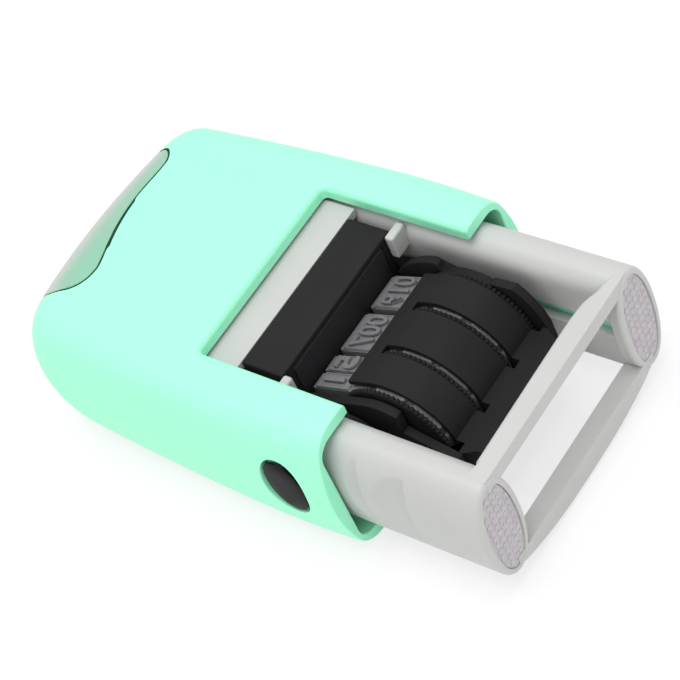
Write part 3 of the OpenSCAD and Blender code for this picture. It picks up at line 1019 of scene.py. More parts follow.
    def cap_zone(self, grow: float, nick: float = 0) -> Form:
        """Return a prism with the outline of the clear cap.

        Args:
            grow: Margin all round.
            nick: Further margin where a fingernail lifts the cap.

        Returns:
            The prism, which runs through front and back.
        """
        edge = self.cap_edge()
        top = self.length + 2
        outline = [(-self.cap_half - grow, top)]
        for k, (x, y) in enumerate(edge):
            before, after = edge[max(k - 1, 0)], edge[min(k + 1, len(edge) - 1)]
            dx, dy = after[0] - before[0], after[1] - before[1]
            size = math.hypot(dx, dy)
            margin = grow + (nick if self.nick_span[0] < x < self.nick_span[1] else 0)
            outline.append((x + margin * dy / size, y - margin * dx / size))
        outline.append((self.cap_half + grow, top))
        return Form().prism(outline, Axis.Z, -self.thick, 2 * self.thick)

    def window(self) -> Form:
        """Return the cutter of the window, through front and back.

        Returns:
            A prism along Z.
        """
        half, end, r = self.window_half, self.window_end, self.window_round
        outline = [(-half, -2), (half, -2)]
        outline += arc((half - r, end - r), r, 0, 90, 8) + arc((r - half, end - r), r, 90, 180, 8)
        return Form().prism(outline, Axis.Z, -self.thick, 2 * self.thick)

    def button_outline(self, grow: float) -> list[Point]:
        """Return the oval of a lock button in Y and Z."""
        return oval((self.button_at, self.button_z), self.button_half[0] + grow, self.button_half[1] + grow)

    def build(self) -> None:
        """Build the shell, the cap and the buttons."""
        self.shell().finish("mint_cover", "cover", MINT, ["cover_shell"])
        cap = self.solid(0).worked(self.cap_zone(0), Cut.KEEP).less(self.solid(self.cap_wall))
        cap.soften(self.cap_soft, 2, 50).finish("clear_end_cap", "cap", CLEAR, ["clear_cap"])
        # A dark strip of painted shade at the bottom of the gap round the clear cap
        self.gap_shade_strip().finish("cap_gap_shade_strip", "cover", GAP_SHADE)
        self.card().finish("cap_card", "cover", PAPER, ["index_card"])
        self.yoke().finish("inner_yoke", "cover", BLACK, ["cover_yoke"])
        for side, name in SIDES:
            self.button(side).finish(f"oval_button_{name}", f"button_{name}", DARK, [f"lock_button_{name}"])

    def shell(self) -> Form:
        """Return the shell with its room, windows, recess and button wells.

        Returns:
            The shell, with its rims rounded.
        """
        recess = self.cap_zone(self.seam, self.nick + 0.02).less(self.solid(self.under_cap))
        wells = []
        for side, _ in SIDES:
            face = side * self.width / 2
            ground = face - side * self.well_deep
            wells += [Form().prism(self.button_outline(self.well_gap), Axis.X, ground, side * 4),
                      Form().rod(Axis.X, (min(face, 0), self.tip_at, 0), self.tip_hole, self.width / 2)]
        shell = self.solid(0).less(self.room(), self.loft(self.loft_start), self.window(), recess, *wells)
        face_z, floor_x = self.thick / 2 - 2 * TINY, self.width / 2 - self.well_deep + 5 * TINY
        well_half = (3.6, 5)

        def at_window(v: Vector) -> bool:
            """Tell whether a corner is on the window's outer rim."""
            return abs(v.z) > face_z and abs(v.x) < self.window_half + TINY and v.y < self.window_end + TINY

        def at_well(v: Vector) -> bool:
            """Tell whether a corner is on the outer rim of a button well."""
            near = abs(v.y - self.button_at) < well_half[0] and abs(v.z - self.button_z) < well_half[1]
            return abs(v.x) > floor_x and near

        shell.soften(self.window_soft, 5, 40, at_window)
        shell.soften(self.mouth_soft, 3, 40, lambda v: v.y < TINY)
        return shell.soften(self.well_soft, 3, 40, at_well)

    def room(self) -> Form:
        """Return the cutter of the room inside, which follows the rounded form past its plain part.

        Returns:
            The cutter.
        """
        half_x, half_z = self.width / 2 - self.wall_side, self.thick / 2 - self.wall_face
        outline = rounded_box((-half_x, -half_z), (half_x, half_z), self.room_corner)
        plain = Form().prism(outline, Axis.Y, -2, self.room_end + 2)
        plain = plain.worked(Form().box((-FAR, -3, -FAR), (FAR, self.room_plain, FAR)), Cut.KEEP)
        deep = Form().prism(outline, Axis.Y, self.room_plain - 1, self.room_end + 1 - self.room_plain)
        return plain.plus(deep.worked(self.solid(self.wall_least), Cut.KEEP))

    def gap_shade_strip(self) -> Form:
        """Return the dark strip in which the edge of the clear cap sits: painted shade at the bottom of the
        deep gap, where shadow falls.
        """
        line = self.solid(self.shade_strip_deep).worked(self.cap_zone(self.seam - TINY, self.nick), Cut.KEEP)
        return line.less(self.cap_zone(2 * TINY), self.solid(self.under_cap - 5 * TINY))

    def loft(self, start: float) -> Form:
        """Return the narrow end of the room, from a place along the stroke to the closed end.

        Args:
            start: Where it begins.

        Returns:
            The cutter, which also serves as the yoke's bridge.
        """
        half_x, half_z = self.loft_half
        outline = rounded_box((-half_x, -half_z), (half_x, half_z), self.room_corner)
        form = Form().prism(outline, Axis.Y, start, self.loft_end - start)
        return form.worked(self.solid(self.under_cap + self.loft_wall), Cut.KEEP)

    def card(self) -> Form:
        """Return the card that lies between the cap and its recess.

        Returns:
            The card.
        """
        form = self.solid(self.cap_wall + self.card_gap).worked(self.cap_zone(-self.card_in), Cut.KEEP)
        start = self.length - self.cap_deep + self.card_up
        end = Form().box((-FAR, start, -FAR), (FAR, self.length + 3, FAR))
        return form.worked(end, Cut.KEEP).less(self.solid(self.under_cap - 2 * TINY))

    def yoke(self) -> Form:
        """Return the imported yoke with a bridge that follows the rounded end.

        Returns:
            The yoke.
        """
        form = Form()
        form.bm.from_mesh(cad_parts["cover_yoke"].data)
        bmesh.ops.remove_doubles(form.bm, verts=form.bm.verts, dist=1e-6)
        form.moved(DATUM.matrix().inverted())
        behind = Form().box((-FAR, self.bridge_at + 5 * TINY, -FAR), (FAR, self.length + 9, FAR))
        return form.less(behind).plus(self.loft(self.bridge_at))

    def button(self, side: int) -> Form:
        """Return a domed lock button with its tip, for one side of the cover.

        Args:
            side: -1 for the left button, 1 for the right one.

        Returns:
            The button.
        """
        face = -self.width / 2
        form = Form().prism(self.button_outline(0), Axis.X, face + self.button_sunk, self.button_thick)
        top = min(form.bm.faces, key=lambda f: f.calc_center_median().x)
        for inset, rise in self.button_dome:
            bmesh.ops.inset_region(form.bm, faces=[top], thickness=inset, depth=0)
            bmesh.ops.translate(form.bm, vec=(rise, 0, 0), verts=top.verts)
        tip = (face + self.tip_sunk, self.tip_at, 0)
        form.joined(Form().rod(Axis.X, tip, self.tip_radius, self.tip_length))
        return form if side < 0 else form.mirrored(Axis.X)


@dataclass
class Slider:
    """The grey frame with its two hollow legs, crossbars and feet.

    Each of the scoops has the place of its steep edge, its run, its depth, and its lowest and highest Z.
    """

    half_width: float = 19.25
    half_thick: float = 8.4
    reach: float = 20.2
    bay: float = 12.9
    foot_half: float = 3.6
    wall: float = 1.8
    web: float = 1.3
    slot_half: float = 1.35
    slot_end: float = 4.35
    leg_soft: float = 0.22
    lock_deep: float = 0.85
    lock_span: Point = (5.35, 10.45)
    lock_half: float = 5.5
    end: float = 28
    plate: float = 1.2
    plate_lap: float = 0.4
    cross_at: float = 17.26
    cross_half: float = 10.85
    shelf: float = 1.8
    cup: float = 5.7
    cup_bore: float = 4.5
    cup_floor: float = 19.66
    track_at: float = 12
    track_half: Point = (1.1, 4.4)
    post_half: float = 1.45
    post_inner: float = 0.7
    post_span: Point = (9.76, 11.06)
    post_lows: Point = (4.8, -8.4)
    post_high: float = 3.6
    post_soft: float = 0.35
    peg: Point = (-4.6, -3.7)
    peg_radius: float = 0.8
    peg_span: Point = (10.5, 13.5)
    taper_from: float = 14
    taper_share: float = 0.62
    scoop_from: float = -10.1
    scoop_step: float = 0.2
    scoop_cuts: int = 49
    scoops: tuple[tuple[float, float, float, float, float], ...] = (
        (-3.25, 2.1, 0.5, -3.0, 7.4), (-9.85, 5.0, 0.95, -3.4, 6.8))
    cap_thick: float = 1.5
    cap_soft: float = 0.6
    rim: float = 0.9
    seat: float = 0.9
    tread_sunk: float = 0.22
    pip_pitch: Point = (0.95, 1.2)
    pip_half: Point = (0.3, 0.36)
    pip_high: float = 0.12

    @property
    def foot_x(self) -> float:
        """Distance of a foot from the middle."""
        return self.half_width - self.foot_half

    def leg_outline(self, inset: float, web: float) -> list[Point]:
        """Return a leg's section: a half oval outside and a flat face inside.

        Args:
            inset: How far the oval is drawn in.
            web: How far the flat face is drawn in.

        Returns:
            The points in X and Z.
        """
        whole = oval((self.foot_x, 0), self.foot_half - inset, self.half_thick - inset, 2.2, 96)
        outer = sorted((p for p in whole if p[0] >= self.foot_x - 1e-6), key=lambda p: p[1])
        x, top = self.bay + web, self.half_thick - inset
        inner = smooth_line([(self.foot_x, top), (self.foot_x - 1.2, top - 0.22), (x + 0.6, top - 0.95),
                             (x + 0.12, top - 1.9), (x, top - 3)], 4)
        return outer[:-1] + inner + [(a, -b) for a, b in reversed(inner)][:-1]

    def leg(self) -> Form:
        """Return the right leg with its slot and the pocket that holds the lock at rest.

        Returns:
            The leg, with the scoops in its outer side.
        """
        foot = self.cap_thick - self.reach
        body = Form().prism(self.leg_outline(0, 0), Axis.Y, foot, self.end - foot)
        places = [self.taper_from, *(self.scoop_from + k * self.scoop_step for k in range(self.scoop_cuts))]
        for y in places:
            bmesh.ops.bisect_plane(body.bm, geom=[*body.bm.verts, *body.bm.edges, *body.bm.faces],
                                   plane_co=(0, y, 0), plane_no=(0, 1, 0))
        for v in body.bm.verts:
            if v.co.y > self.taper_from + 1 and v.co.x > self.foot_x:
                v.co.x = self.foot_x + (v.co.x - self.foot_x) * self.taper_share
            elif v.co.x > self.foot_x + 0.5:
                v.co.x -= self.scoop(v.co.y, v.co.z)
        x, start = self.half_width, foot + 0.9
        hollow = Form().prism(self.leg_outline(self.wall, self.web), Axis.Y, start, self.end)
        slot = Form().box((self.bay - 1, start, -self.slot_half),
                          (self.bay + self.web + 0.2, self.slot_end, self.slot_half))
        pocket = Form().box((x - self.lock_deep, self.lock_span[0], -self.lock_half),
                            (x + 2, self.lock_span[1], self.lock_half))
        return body.less(hollow, slot, pocket).soften(
            self.leg_soft, 2, 40, lambda v: v.y > foot + TINY and abs(v.x - self.bay) < TINY)

    def scoop(self, y: float, z: float) -> float:
        """Return how deep the step by the mouth and the lock's front pocket lie at a point of the side.

        Args:
            y: Place along the leg.
            z: Place across the side.

        Returns:
            The depth, which is 0 outside both.
        """
        depth = 0.0
        for edge, run, deep, low, high in self.scoops:
            across = 1 - ((z - (low + high) / 2) / ((high - low) / 2)) ** 2
            if across > 0 and edge < y < edge + run * math.sqrt(across):
                along = (y - edge) / (run * math.sqrt(across))
                depth = deep * across ** 0.8 * (1 - along ** 2.5)
        return depth

    def bars(self) -> list[Form]:
        """Return the front crossbar, and the deeper back one, whose outer side bulges down.

        Returns:
            Both bars, with their long edges rounded.
        """
        x = self.foot_x
        inner = smooth_line([(12.2, -17.9), (10.4, -17.3), (7.5, -17.05), (0, -17.1), (-13.2, -17.3)], 5)
        top = [(x, -20.0), (x, -19.0), (14.2, -18.5), *inner, (-x, -17.4), (-x, -20.0)]
        front = Form().prism(top, Axis.Z, self.half_thick - 2.1, 2.1)
        half = [(x, -8.2), (12.5, -9.2), (7, -10.1)]
        bulge = smooth_line([*half, (0, -10.35), *((-a, b) for a, b in reversed(half))], 5)
        back = Form().prism([(-x, -6.5), (x, -6.5), *bulge], Axis.Y, -20.1, 2.4)
        for v in back.bm.verts:
            if v.co.y > -18 and v.co.z < -7:
                v.co.z = -7.6 + (v.co.z + 8.2) * 0.2
        return [front.soften(0.7, 4, 50, lambda v: abs(v.x) < x - TINY),
                back.soften(0.6, 4, 30, lambda v: abs(v.x) < x - TINY)]

    def build(self) -> None:
        """Build the frame body, the feet and their pads."""
        right = self.leg()
        body = right.plus(right.copy().mirrored(Axis.X), *self.bars(), *self.closed_end())
        body = body.less(Form().rod(Axis.Y, (0, self.cup_floor, 0), self.cup_bore, 20, 48))
        for side, _ in SIDES:
            body = body.less(self.track(side)).plus(*self.posts(side), self.turning_peg(side))
        body.finish("pale_slider", "frame", GREY, ["frame_body"])
        for side, name in SIDES:
            self.foot(side).finish(f"foot_rim_{name}", "frame", GREY, [f"foot_cap_{name}"])
            self.pad(side).finish(f"foot_tread_{name}", "frame", PAD, [f"foot_pad_{name}"])

    def closed_end(self) -> list[Form]:
        """Return the plates behind the ink cartridge, and the spring's cup between them.

        Returns:
            The plates and the cup.
        """
        start, stop, high = self.cross_at, self.end, self.half_thick
        wide, narrow, short = self.bay + self.plate_lap, self.cross_half, high - 0.1
        boxes = [((-wide, start, high - self.plate), (wide, stop, high)),
                 ((-wide, start, -high), (wide, stop, self.plate - high)),
                 ((-narrow, start, -short), (narrow, start + self.plate, short)),
                 ((-narrow, start - self.shelf, -high), (narrow, start + 0.2, self.plate - high)),
                 ((-wide, stop - self.plate, -short), (wide, stop, short))]
        cup = Form().rod(Axis.Y, (0, start + 0.1, 0), self.cup, stop - start - 0.2, 48)
        return [*(Form().box(low, high) for low, high in boxes), cup]

    def track(self, side: int) -> Form:
        """Return the cutter that lets an arm of the yoke through the end plate."""
        x, (half_x, half_z) = side * self.track_at, self.track_half
        return Form().box((x - half_x, self.end - 2, -half_z), (x + half_x, self.end + 1, half_z))

    def posts(self, side: int) -> list[Form]:
        """Return the two posts in front of the ink cartridge on one side; the near ones are narrower.

        Args:
            side: -1 for the near leg, 1 for the far one.

        Returns:
            The front post and the back one.
        """
        inner = self.post_half if side > 0 else self.post_inner
        x0, x1 = sorted((side * (self.track_at - inner), side * (self.track_at + self.post_half)))
        y0, y1 = self.post_span
        return [Form().box((x0, y0, z), (x1, y1, z + self.post_high)).soften(self.post_soft, 3)
                for z in self.post_lows]

    def turning_peg(self, side: int) -> Form:
        """Return the peg on one leg that turns the date unit."""
        start, end = sorted(side * x for x in self.peg_span)
        return Form().rod(Axis.X, (start, *self.peg), self.peg_radius, end - start, 24)

    def foot(self, side: int) -> Form:
        """Return the oval rim that closes a leg, rounded outside.

        Args:
            side: -1 for the near leg, 1 for the far one.

        Returns:
            The rim.
        """
        centre, face = (side * self.foot_x, 0), -self.reach
        form = Form().prism(oval(centre, self.foot_half, self.half_thick), Axis.Y, face, self.cap_thick)
        form.soften(self.cap_soft, 4, 40, lambda v: v.y < face + TINY)
        seat = oval(centre, self.foot_half - self.rim, self.half_thick - self.rim)
        form = form.less(Form().prism(seat, Axis.Y, face - 1, 1 + self.seat))
        return form.soften(0.1, 2, 60, lambda v: v.y < face + TINY)

    def pad(self, side: int) -> Form:
        """Return the rubber tread of a foot with its pips.

        Args:
            side: -1 for the near leg, 1 for the far one.

        Returns:
            The tread.
        """
        centre = (side * self.foot_x, 0)
        half_x, half_z = self.foot_half - self.rim, self.half_thick - self.rim
        face = self.tread_sunk - self.reach
        outline = oval(centre, half_x - 0.03, half_z - 0.03)
        form = Form().prism(outline, Axis.Y, face, self.seat - self.tread_sunk).soften(0.12)
        size_x, size_z = self.pip_half
        for row in range(-2, 3):
            for column in range(-5, 6):
                x, z = centre[0] + row * self.pip_pitch[0], column * self.pip_pitch[1]
                share = abs((x - centre[0]) / (half_x - 0.35)) ** 2.2 + abs(z / (half_z - 0.5)) ** 2.2
                if share < 1:
                    pip = Form().box((x - size_x, face - self.pip_high, z - size_z),
                                     (x + size_x, face + 0.1, z + size_z))
                    form.joined(pip.soften(0.1, 2))
        return form


@dataclass
class Cartridge:
    """The ink tray with its pull lip and the felt that it holds."""

    front: float = 11.06
    back: float = 17.21
    half: float = 10.8
    lip_half: float = 11.8
    low: float = -7.15
    high: float = 8.4
    lip: float = 2.8
    wall: float = 1.0
    soft: float = 0.25

    def build(self) -> None:
        """Build the tray and the felt."""
        step = self.high - self.lip
        outline = [(-self.half, self.low), (self.half, self.low), (self.half, step), (self.lip_half, step),
                   (self.lip_half, self.high), (-self.lip_half, self.high), (-self.lip_half, step),
                   (-self.half, step)]
        tray = Form().prism(outline, Axis.Y, self.front, self.back - self.front)
        room = Form().box((-self.half + self.wall, self.front - 1, self.low + self.wall),
                          (self.half - self.wall, self.back - self.wall, self.high - self.wall))
        tray.less(room).soften(self.soft, 3, 40).finish("cartridge_tray", "frame", TRAY, ["ink_tray"], 20)
        inset = self.wall + 2 * TINY
        felt = Form().box((-self.half + inset, self.front + 2 * TINY, self.low + inset),
                          (self.half - inset, self.back - inset, self.high - inset)).soften(self.soft, 3)
        felt.finish("cartridge_felt", "frame", FELT, ["ink_pad"])


@dataclass
class Dater:
    """The date unit: cheeks, casing, wheels and type bands, drawn round its pivot.

    Each of the wheels has its lowest and highest X, and whether its knurled rim is on the low side. The
    figures of a band are those on the block that is ready to print and on the blocks that show.
    """

    pivot: float = 3.0
    reach: float = 8.0
    axle: float = 4.6
    drum: float = 5.6
    nose: float = 0.8
    nose_z: float = 1.45
    band: float = 0.9
    relief: float = 0.55
    thumb: float = 7.75
    thumb_wide: float = 0.62
    teeth: int = 72
    tooth: float = 0.3
    cheek_in: float = 9.65
    cheek_out: float = 10.85
    cheek: float = 7.0
    stub: float = 1.2
    stub_length: float = 3.4
    arch_half: float = 9.4
    arch_in: float = 7.3
    arch_out: float = 8.0
    arch_edge: float = 1.5
    tail_root: float = -11.9
    tail_step: Point = (-14.1, -15.7)
    tail_end: float = -16.8
    tail_in: float = 0.95
    tail_half: float = 1.6
    slot_from: float = -13.5
    slot_stop: float = -0.6
    slot_gap: Point = (0.1, 0.5)
    band_gap: float = 0.05
    block_long: Sequence[float] = (5.6, 6.0, 3.0, 4.2)
    block_lap: float = 0.9
    block_next: float = 7.0
    block_over: float = 0.4
    figure_high: float = 0.16
    figure_wide: float = 0.42
    wheels: tuple[tuple[float, float, bool], ...] = (
        (-9.4, -6.3, True), (-6.15, -3.0, False), (-2.85, 3.8, False), (3.95, 9.58, False))
    names: tuple[str, ...] = ("day_tens", "day_units", "month", "year")
    figures: tuple[tuple[str, ...], ...] = (("2", "1"), ("4", "5"), ("06", "007"), ("18", "019"))

    @property
    def nose_y(self) -> float:
        """Distance from the pivot to the middle of the bar that backs the type."""
        return self.reach - self.relief - self.band - self.nose

    @property
    def lean(self) -> float:
        """Direction, in degrees, that faces away from the bands' straight run."""
        span = math.hypot(self.nose_y + self.axle, self.nose_z)
        return math.degrees(math.atan2(self.nose_z, self.nose_y + self.axle)
                            + math.acos((self.drum - self.nose) / span))

    def run_outline(self, out: float) -> list[Point]:
        """Return the outline of the bands' run in Y and Z, a distance out from the drums.

        Args:
            out: Distance from the drums.

        Returns:
            The points in Y and Z, from the mouth.
        """
        front = arc((self.nose_y, self.nose_z), self.nose + out, 0, self.lean, 8)
        back = arc((-self.axle, 0), self.drum + out, self.lean, 360 - self.lean, 48)
        under = arc((self.nose_y, -self.nose_z), self.nose + out, -self.lean, 0, 8)
        return self.from_mouth(front + back + under)

    def from_mouth(self, points: Sequence[Point]) -> list[Point]:
        """Return points in Y and Z, counted from the pivot, as points counted from the mouth."""
        return [(y + self.pivot, z) for y, z in points]

    def rim_span(self, index: int) -> Point:
        """Return where the knurled rim of a wheel lies across."""
        low, high, first = self.wheels[index]
        return (low, low + self.thumb_wide) if first else (high - self.thumb_wide, high)

    def drum_span(self, index: int) -> Point:
        """Return where the drum of a wheel lies across."""
        low, high, first = self.wheels[index]
        return (low + self.thumb_wide, high) if first else (low, high - self.thumb_wide)

    def build(self) -> None:
        """Build every piece of the unit."""
        for index, name in enumerate(self.names):
            self.wheel(index).finish(f"thumb_wheel_{name}", name, BLACK, [f"{name}_wheel"])
            self.type_band(index).finish(f"type_band_{name}", "dater", TYPE, [f"{name}_band"])
        front = self.casing()
        front.copy().mirrored(Axis.Z).finish("arched_cover_back", "dater", BLACK, ["casing_back"])
        front.finish("arched_cover_front", "dater", BLACK, ["casing_front"])
        self.cheek_plate(self.near_side(), -1).finish("cheek_plate_left", "dater", BLACK, ["cheek_left"])
        self.cheek_plate(self.far_side(), 1).finish("cheek_plate_right", "dater", BLACK, ["cheek_right"])

    def wheel(self, index: int) -> Form:
        """Return a thumb wheel with a knurled rim and a plain drum.

        Args:
            index: Which wheel, from the near side.

        Returns:
            The wheel.
        """
        low, high = self.rim_span(index)
        start, stop = self.drum_span(index)
        step, root = 360 / self.teeth, self.thumb - self.tooth
        outline = []
        for k in range(self.teeth):
            corners = ((self.thumb, -0.2), (self.thumb, 0.2), (root, 0.38), (root, 0.62))
            outline += [self._polar(radius, (k + turn) * step) for radius, turn in corners]
        form = Form().prism(outline, Axis.X, low, high - low).soften(0.1, 1, 60)
        drum = [self._polar(self.drum, 360 * k / 64) for k in range(64)]
        return form.joined(Form().prism(drum, Axis.X, start, stop - start))

    def _polar(self, radius: float, angle: float) -> Point:
        """Return a point round the wheel axle."""
        turn = math.radians(angle)
        return radius * math.cos(turn) - self.axle + self.pivot, radius * math.sin(turn)

    def casing(self) -> Form:
        """Return the front half of the casing: three arches and half of the tail.

        Returns:
            The front half, which is mirrored for the back.
        """
        half = self.arch_half
        ring = Form().prism(self.run_outline(self.arch_out - self.drum), Axis.X, -half, 2 * half)
        hollow = Form().prism(self.run_outline(self.arch_in - self.drum), Axis.X, -half - 1, 2 * half + 2)
        keep = Form().box((-half - 1, -FAR, 0), (half + 1, self.pivot + self.arch_edge, FAR))
        wide, (neck, waist) = self.cheek_in, self.tail_step
        slim = wide - self.tail_in
        tail = [(-wide, self.tail_root), (-wide, neck), (-slim, waist), (-slim, self.tail_end),
                (slim, self.tail_end), (slim, waist), (wide, neck), (wide, self.tail_root)]
        form = ring.less(hollow).worked(keep, Cut.KEEP).plus(self._plate(tail, 0, self.tail_half))
        for index in range(len(self.wheels)):
            low, high = self.rim_span(index)
            low, high = low - self.slot_gap[0], high + self.slot_gap[1]
            stop = self.slot_stop if index in (1, 2) else self.arch_edge + 1
            slot = [(low, self.slot_from), (high, self.slot_from), (high, stop), (low, stop)]
            form = form.less(self._plate(slot, -1, 12))
        return form.soften(0.12, 2, 42, lambda v: v.z > 2 * TINY)

    def _plate(self, outline: Sequence[Point], start: float, depth: float) -> Form:
        """Return a prism along Z, with an outline in X and Y that is counted from the pivot."""
        return Form().prism([(x, y + self.pivot) for x, y in outline], Axis.Z, start, depth)

    def near_side(self) -> list[Point]:
        """Return the near cheek's outline: low, with a step behind the pivot.

        Returns:
            The points in Y and Z.
        """
        top = [(7.3, 2.6)] + arc((self.nose_y, self.nose_z), 2.2, 45, self.lean, 4)
        top += arc((-self.axle, 0), self.cheek, self.lean, 112, 10)
        return self.from_mouth(top + [(-7.3, 3.7), (-14.2, 1.6)] + self.back_edge())

    def far_side(self) -> list[Point]:
        """Return the far cheek's outline: an ear behind the type and a raised rim over the tail.

        Returns:
            The points in Y and Z.
        """
        lobe = [(6.0, 4.5), (5.0, 5.4), (3.7, 6.3), (1.7, 7.3), (0.2, 7.7)]
        ear = [(7.3, 2.6), (6.9, 3.6)] + smooth_line(lobe) + [(-0.15, 7.4), (-0.3, 6.6)]
        dip = arc((-self.axle, 0), self.cheek + 0.1, 58, 112, 8) + [(-7.7, 7.0)]
        rim = arc((-self.axle, 0), 9.6, 131, 171, 12)
        return self.from_mouth(ear + dip + rim + self.back_edge())

    def back_edge(self) -> list[Point]:
        """Return the edge that both cheeks share, from the tail along the back to the type."""
        low = [(-14.2, -1.6), (-9.9, -4.6)] + arc((-self.axle, 0), self.cheek, 222, 360 - self.lean, 16)
        return low + arc((self.nose_y, -self.nose_z), 2.2, -self.lean, -45, 4) + [(7.3, -2.6)]

    def cheek_plate(self, outline: Sequence[Point], side: int) -> Form:
        """Return a cheek plate with its pivot stub.

        Args:
            outline: Its outline in Y and Z.
            side: -1 for the near one, 1 for the far one.

        Returns:
            The plate.
        """
        start = self.cheek_in if side > 0 else -self.cheek_out
        form = Form().prism(outline, Axis.X, start, self.cheek_out - self.cheek_in)
        bmesh.ops.triangulate(form.bm, faces=[f for f in form.bm.faces if len(f.verts) > 4])
        form.soften(0.14, 2, 50)
        inner = self.cheek_out - 0.1
        start = inner if side > 0 else -inner - self.stub_length
        stub = Form().rod(Axis.X, (start, self.pivot, 0), self.stub, self.stub_length)
        return form.joined(stub.soften(0.15))

    def type_band(self, index: int) -> Form:
        """Return a type band: the loop and its blocks with raised mirrored figures.

        Args:
            index: Which band, from the near side.

        Returns:
            The band.
        """
        low, high = self.drum_span(index)
        low, high = low + self.band_gap, high - self.band_gap
        loop = Form().prism(self.run_outline(self.band_gap + self.band), Axis.X, low, high - low)
        form = loop.less(Form().prism(self.run_outline(self.band_gap), Axis.X, low - 1, high - low + 2))
        for matrix, length, figure in self.block_places(index):
            more = self.block_over if figure and index == len(self.wheels) - 1 else 0
            place = Matrix.Translation(((low + high + more) / 2, self.pivot, 0))
            form.joined(self.block(high - low + more, length, figure).moved(place @ matrix))
        return form

    def block_places(self, index: int) -> Iterator[tuple[Matrix, float, str]]:
        """Yield the blocks of a band.

        Args:
            index: Which band.

        Yields:
            Where a block sits, how long it is and the figure on it.
        """
        ready, shown, tucked, hidden = self.block_long
        base = self.band + self.band_gap
        yield self._seat(self.nose_y + self.nose + base, 0, 0), ready, self.figures[index][0]
        out = self.nose + base
        turn = math.radians(self.lean)
        root = Vector((self.nose_y + out * math.cos(turn), (self.nose_z + out * math.sin(turn))))
        along = Vector((-math.sin(turn), math.cos(turn)))
        blocks = ((shown / 2 - self.block_lap, shown, self.figures[index][1]),
                  (self.block_next, tucked, ""))
        for side in (1, -1):
            for place, size, figure in blocks:
                spot = root + along * place
                yield self._seat(spot.x, side * spot.y, side * self.lean), size, figure
        reach, count = self.drum + base, 5
        for k in range(count):
            angle = self.lean + (360 - 2 * self.lean) * (k + 0.5) / count
            turn = math.radians(angle)
            yield self._seat(reach * math.cos(turn) - self.axle, reach * math.sin(turn), angle), hidden, ""

    @staticmethod
    def _seat(y: float, z: float, angle: float) -> Matrix:
        """Return the place of a block.

        Args:
            y: Place along the stroke, counted from the pivot.
            z: Height of the place.
            angle: Direction, in degrees, that the block faces.

        Returns:
            A matrix that turns the block's own Z outwards and its own Y along the band.
        """
        turn = math.radians(angle)
        out = Vector((0, math.cos(turn), math.sin(turn)))
        along = Vector((0, math.sin(turn), -math.cos(turn)))
        across = along.cross(out)
        place = Matrix((across, along, out)).transposed().to_4x4()
        return Matrix.Translation((0, y, z)) @ place

    def block(self, width: float, length: float, figure: str) -> Form:
        """Return a type block.

        Args:
            width: Its size across the band.
            length: Its size along the band.
            figure: What stands on it, mirrored as type is, or nothing.

        Returns:
            The block, with its foot at Z 0.
        """
        form = Form().box((-width / 2, -length / 2, -0.2), (width / 2, length / 2, self.relief - 0.22))
        top = max(form.bm.faces, key=lambda f: f.calc_center_median().z)
        bmesh.ops.scale(form.bm, vec=(0.93, 0.94, 1), verts=top.verts)
        if figure:
            bmesh.ops.inset_region(form.bm, faces=[top], thickness=0.2, depth=0)
            bmesh.ops.inset_region(form.bm, faces=[top], thickness=0.08, depth=-self.figure_high)
        form.soften(0.05, 1, 60)
        return form.joined(self.raised(figure, width, length)) if figure else form

    def raised(self, figure: str, width: float, length: float) -> Form:
        """Return the raised figure of a type block, sized to fit the block.

        Args:
            figure: What stands on the block.
            width: The block's size across the band.
            length: The block's size along the band.

        Returns:
            The figure, mirrored as type is.
        """
        letters = bpy.data.curves.new("figure", "FONT")
        letters.body = figure
        letters.align_x, letters.align_y = "CENTER", "CENTER"
        letters.size, letters.extrude = length * 0.86, self.figure_high
        letters.offset, letters.bevel_depth = 0.05, 0.02
        holder = bpy.data.objects.new("figure", letters)
        bpy.context.scene.collection.objects.link(holder)
        form = Form.of_object(holder)
        bpy.data.curves.remove(letters)
        squeeze = min(1, width * self.figure_wide / max(abs(v.co.x) for v in form.bm.verts))
        form.moved(Matrix.Translation((0, 0, self.relief - 0.12)) @ Matrix.Diagonal((-squeeze, 1, 1, 1)))
        bmesh.ops.reverse_faces(form.bm, faces=form.bm.faces)
        return form


@dataclass
class Inner:
    """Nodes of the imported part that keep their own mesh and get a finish."""

    finishes: dict[str, Finish] = field(default_factory=lambda: {
        "platen_bar": BLACK, "wheel_axle": STEEL, "return_spring": STEEL,
        "guide_strip_left": MINT, "guide_strip_right": MINT})

    def dress(self) -> None:
        """Give each node its finish."""
        for name, finish in self.finishes.items():
            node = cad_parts[name]
            node.data.materials.clear()
            node.data.materials.append(finish.material())
            LOG.info("%s: %s", name, finish.name)


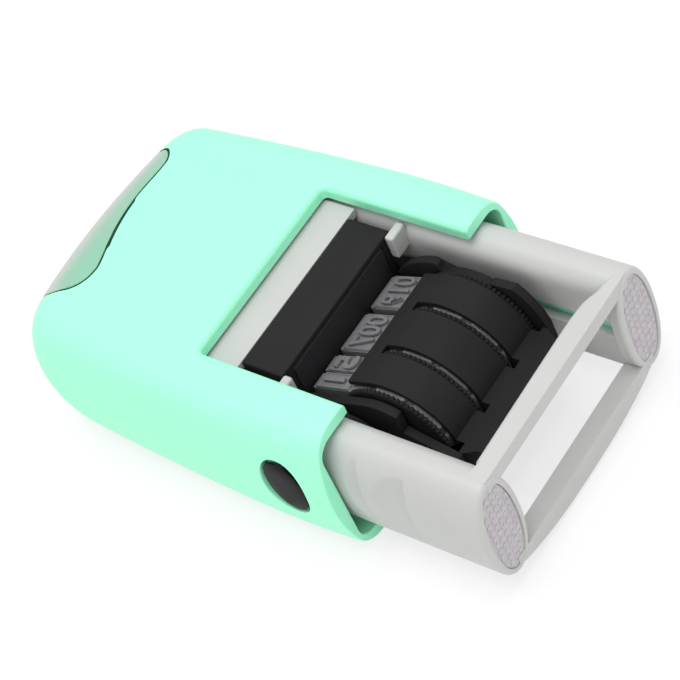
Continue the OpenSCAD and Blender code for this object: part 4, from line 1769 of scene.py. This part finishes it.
@dataclass
class Studio:
    """Floor, light and camera."""

    eye: Spot = (-0.11515, DATUM.mouth_y * MM - 0.14502, 0.22166)
    turn: Sequence[float] = (0.797008, 0.364336, -0.031004, -0.480704)
    lens: float = 125.35
    sensor: float = 36.0
    white: tuple[float, ...] = (1, 1, 1, 1)
    ground: tuple[float, ...] = (0.9, 0.9, 0.9, 1)
    ground_half: float = 3
    ground_glow: float = 0.72
    sky: float = 0.8
    lights: tuple[tuple[str, Spot, float, float], ...] = (
        ("key", (-0.05, 0.0, 0.6), 2.2, 0.4), ("fill", (-0.35, -0.3, 0.3), 0.1, 0.5))

    def build(self) -> None:
        """Build the stage."""
        self.floor()
        self.world()
        self.lamps()
        self.camera()

    def floor(self) -> None:
        """Lay a pale floor that looks white and keeps a faint shadow."""
        form = bmesh.new()
        bmesh.ops.create_grid(form, x_segments=1, y_segments=1, size=self.ground_half)
        mesh = bpy.data.meshes.new("floor")
        form.to_mesh(mesh)
        form.free()
        floor = bpy.data.objects.new("floor", mesh)
        bpy.context.scene.collection.objects.link(floor)
        material = bpy.data.materials.new("floor_white")
        mesh.materials.append(material)
        shop = Nodes(material, "Material")
        matt = shop.add("BsdfDiffuse", {}, {"Color": self.ground}).out(0)
        glow = shop.add("Emission", {}, {"Color": self.white, "Strength": 1.0}).out(0)
        shop.add("LightPath", {}, {})
        rays = [shop.out(f"Is {ray} Ray") for ray in ("Camera", "Glossy", "Transmission")]
        seen = (rays[0] + rays[1] + rays[2]).clipped() * self.ground_glow
        shop.show(shop.mix(seen, matt, glow))

    def world(self) -> None:
        """Light the scene evenly from all round, and show white to the camera."""
        world = bpy.data.worlds.new("studio")
        bpy.context.scene.world = world
        shop = Nodes(world, "World")
        soft, white = [shop.add("Background", {}, {"Color": self.white, "Strength": strength}).out(0)
                       for strength in (self.sky, 1.0)]
        straight = shop.add("LightPath", {}, {}).out("Is Camera Ray")
        shop.show(shop.mix(straight, soft, white))

    def lamps(self) -> None:
        """Hang the key lamp above the window, and a weak one on the near side."""
        for name, place, power, size in self.lights:
            light = bpy.data.lights.new(name, "AREA")
            light.energy, light.size = power, size
            lamp = bpy.data.objects.new(name, light)
            lamp.location = place
            lamp.rotation_mode = "QUATERNION"
            lamp.rotation_quaternion = (-Vector(place)).to_track_quat("-Z", "Y")
            bpy.context.scene.collection.objects.link(lamp)

    def camera(self) -> None:
        """Stand the camera where the photograph was taken from."""
        data = bpy.data.cameras.new("camera")
        data.lens, data.sensor_width = self.lens, self.sensor
        data.clip_start, data.clip_end = 0.01, 20
        camera = bpy.data.objects.new("camera", data)
        camera.rotation_mode = "QUATERNION"
        camera.location = self.eye
        camera.rotation_quaternion = Quaternion(self.turn)
        bpy.context.scene.collection.objects.link(camera)
        bpy.context.scene.camera = camera
        bpy.context.scene.view_settings.view_transform = "Standard"


def main() -> None:
    """Build the stamp and its stage."""
    logging.basicConfig(level=logging.INFO, format="%(message)s")
    Studio().build()
    Inner().dress()
    for part in (Cover(), Slider(), Cartridge(), Dater()):
        part.build()


if __name__ == "__main__":
    main()
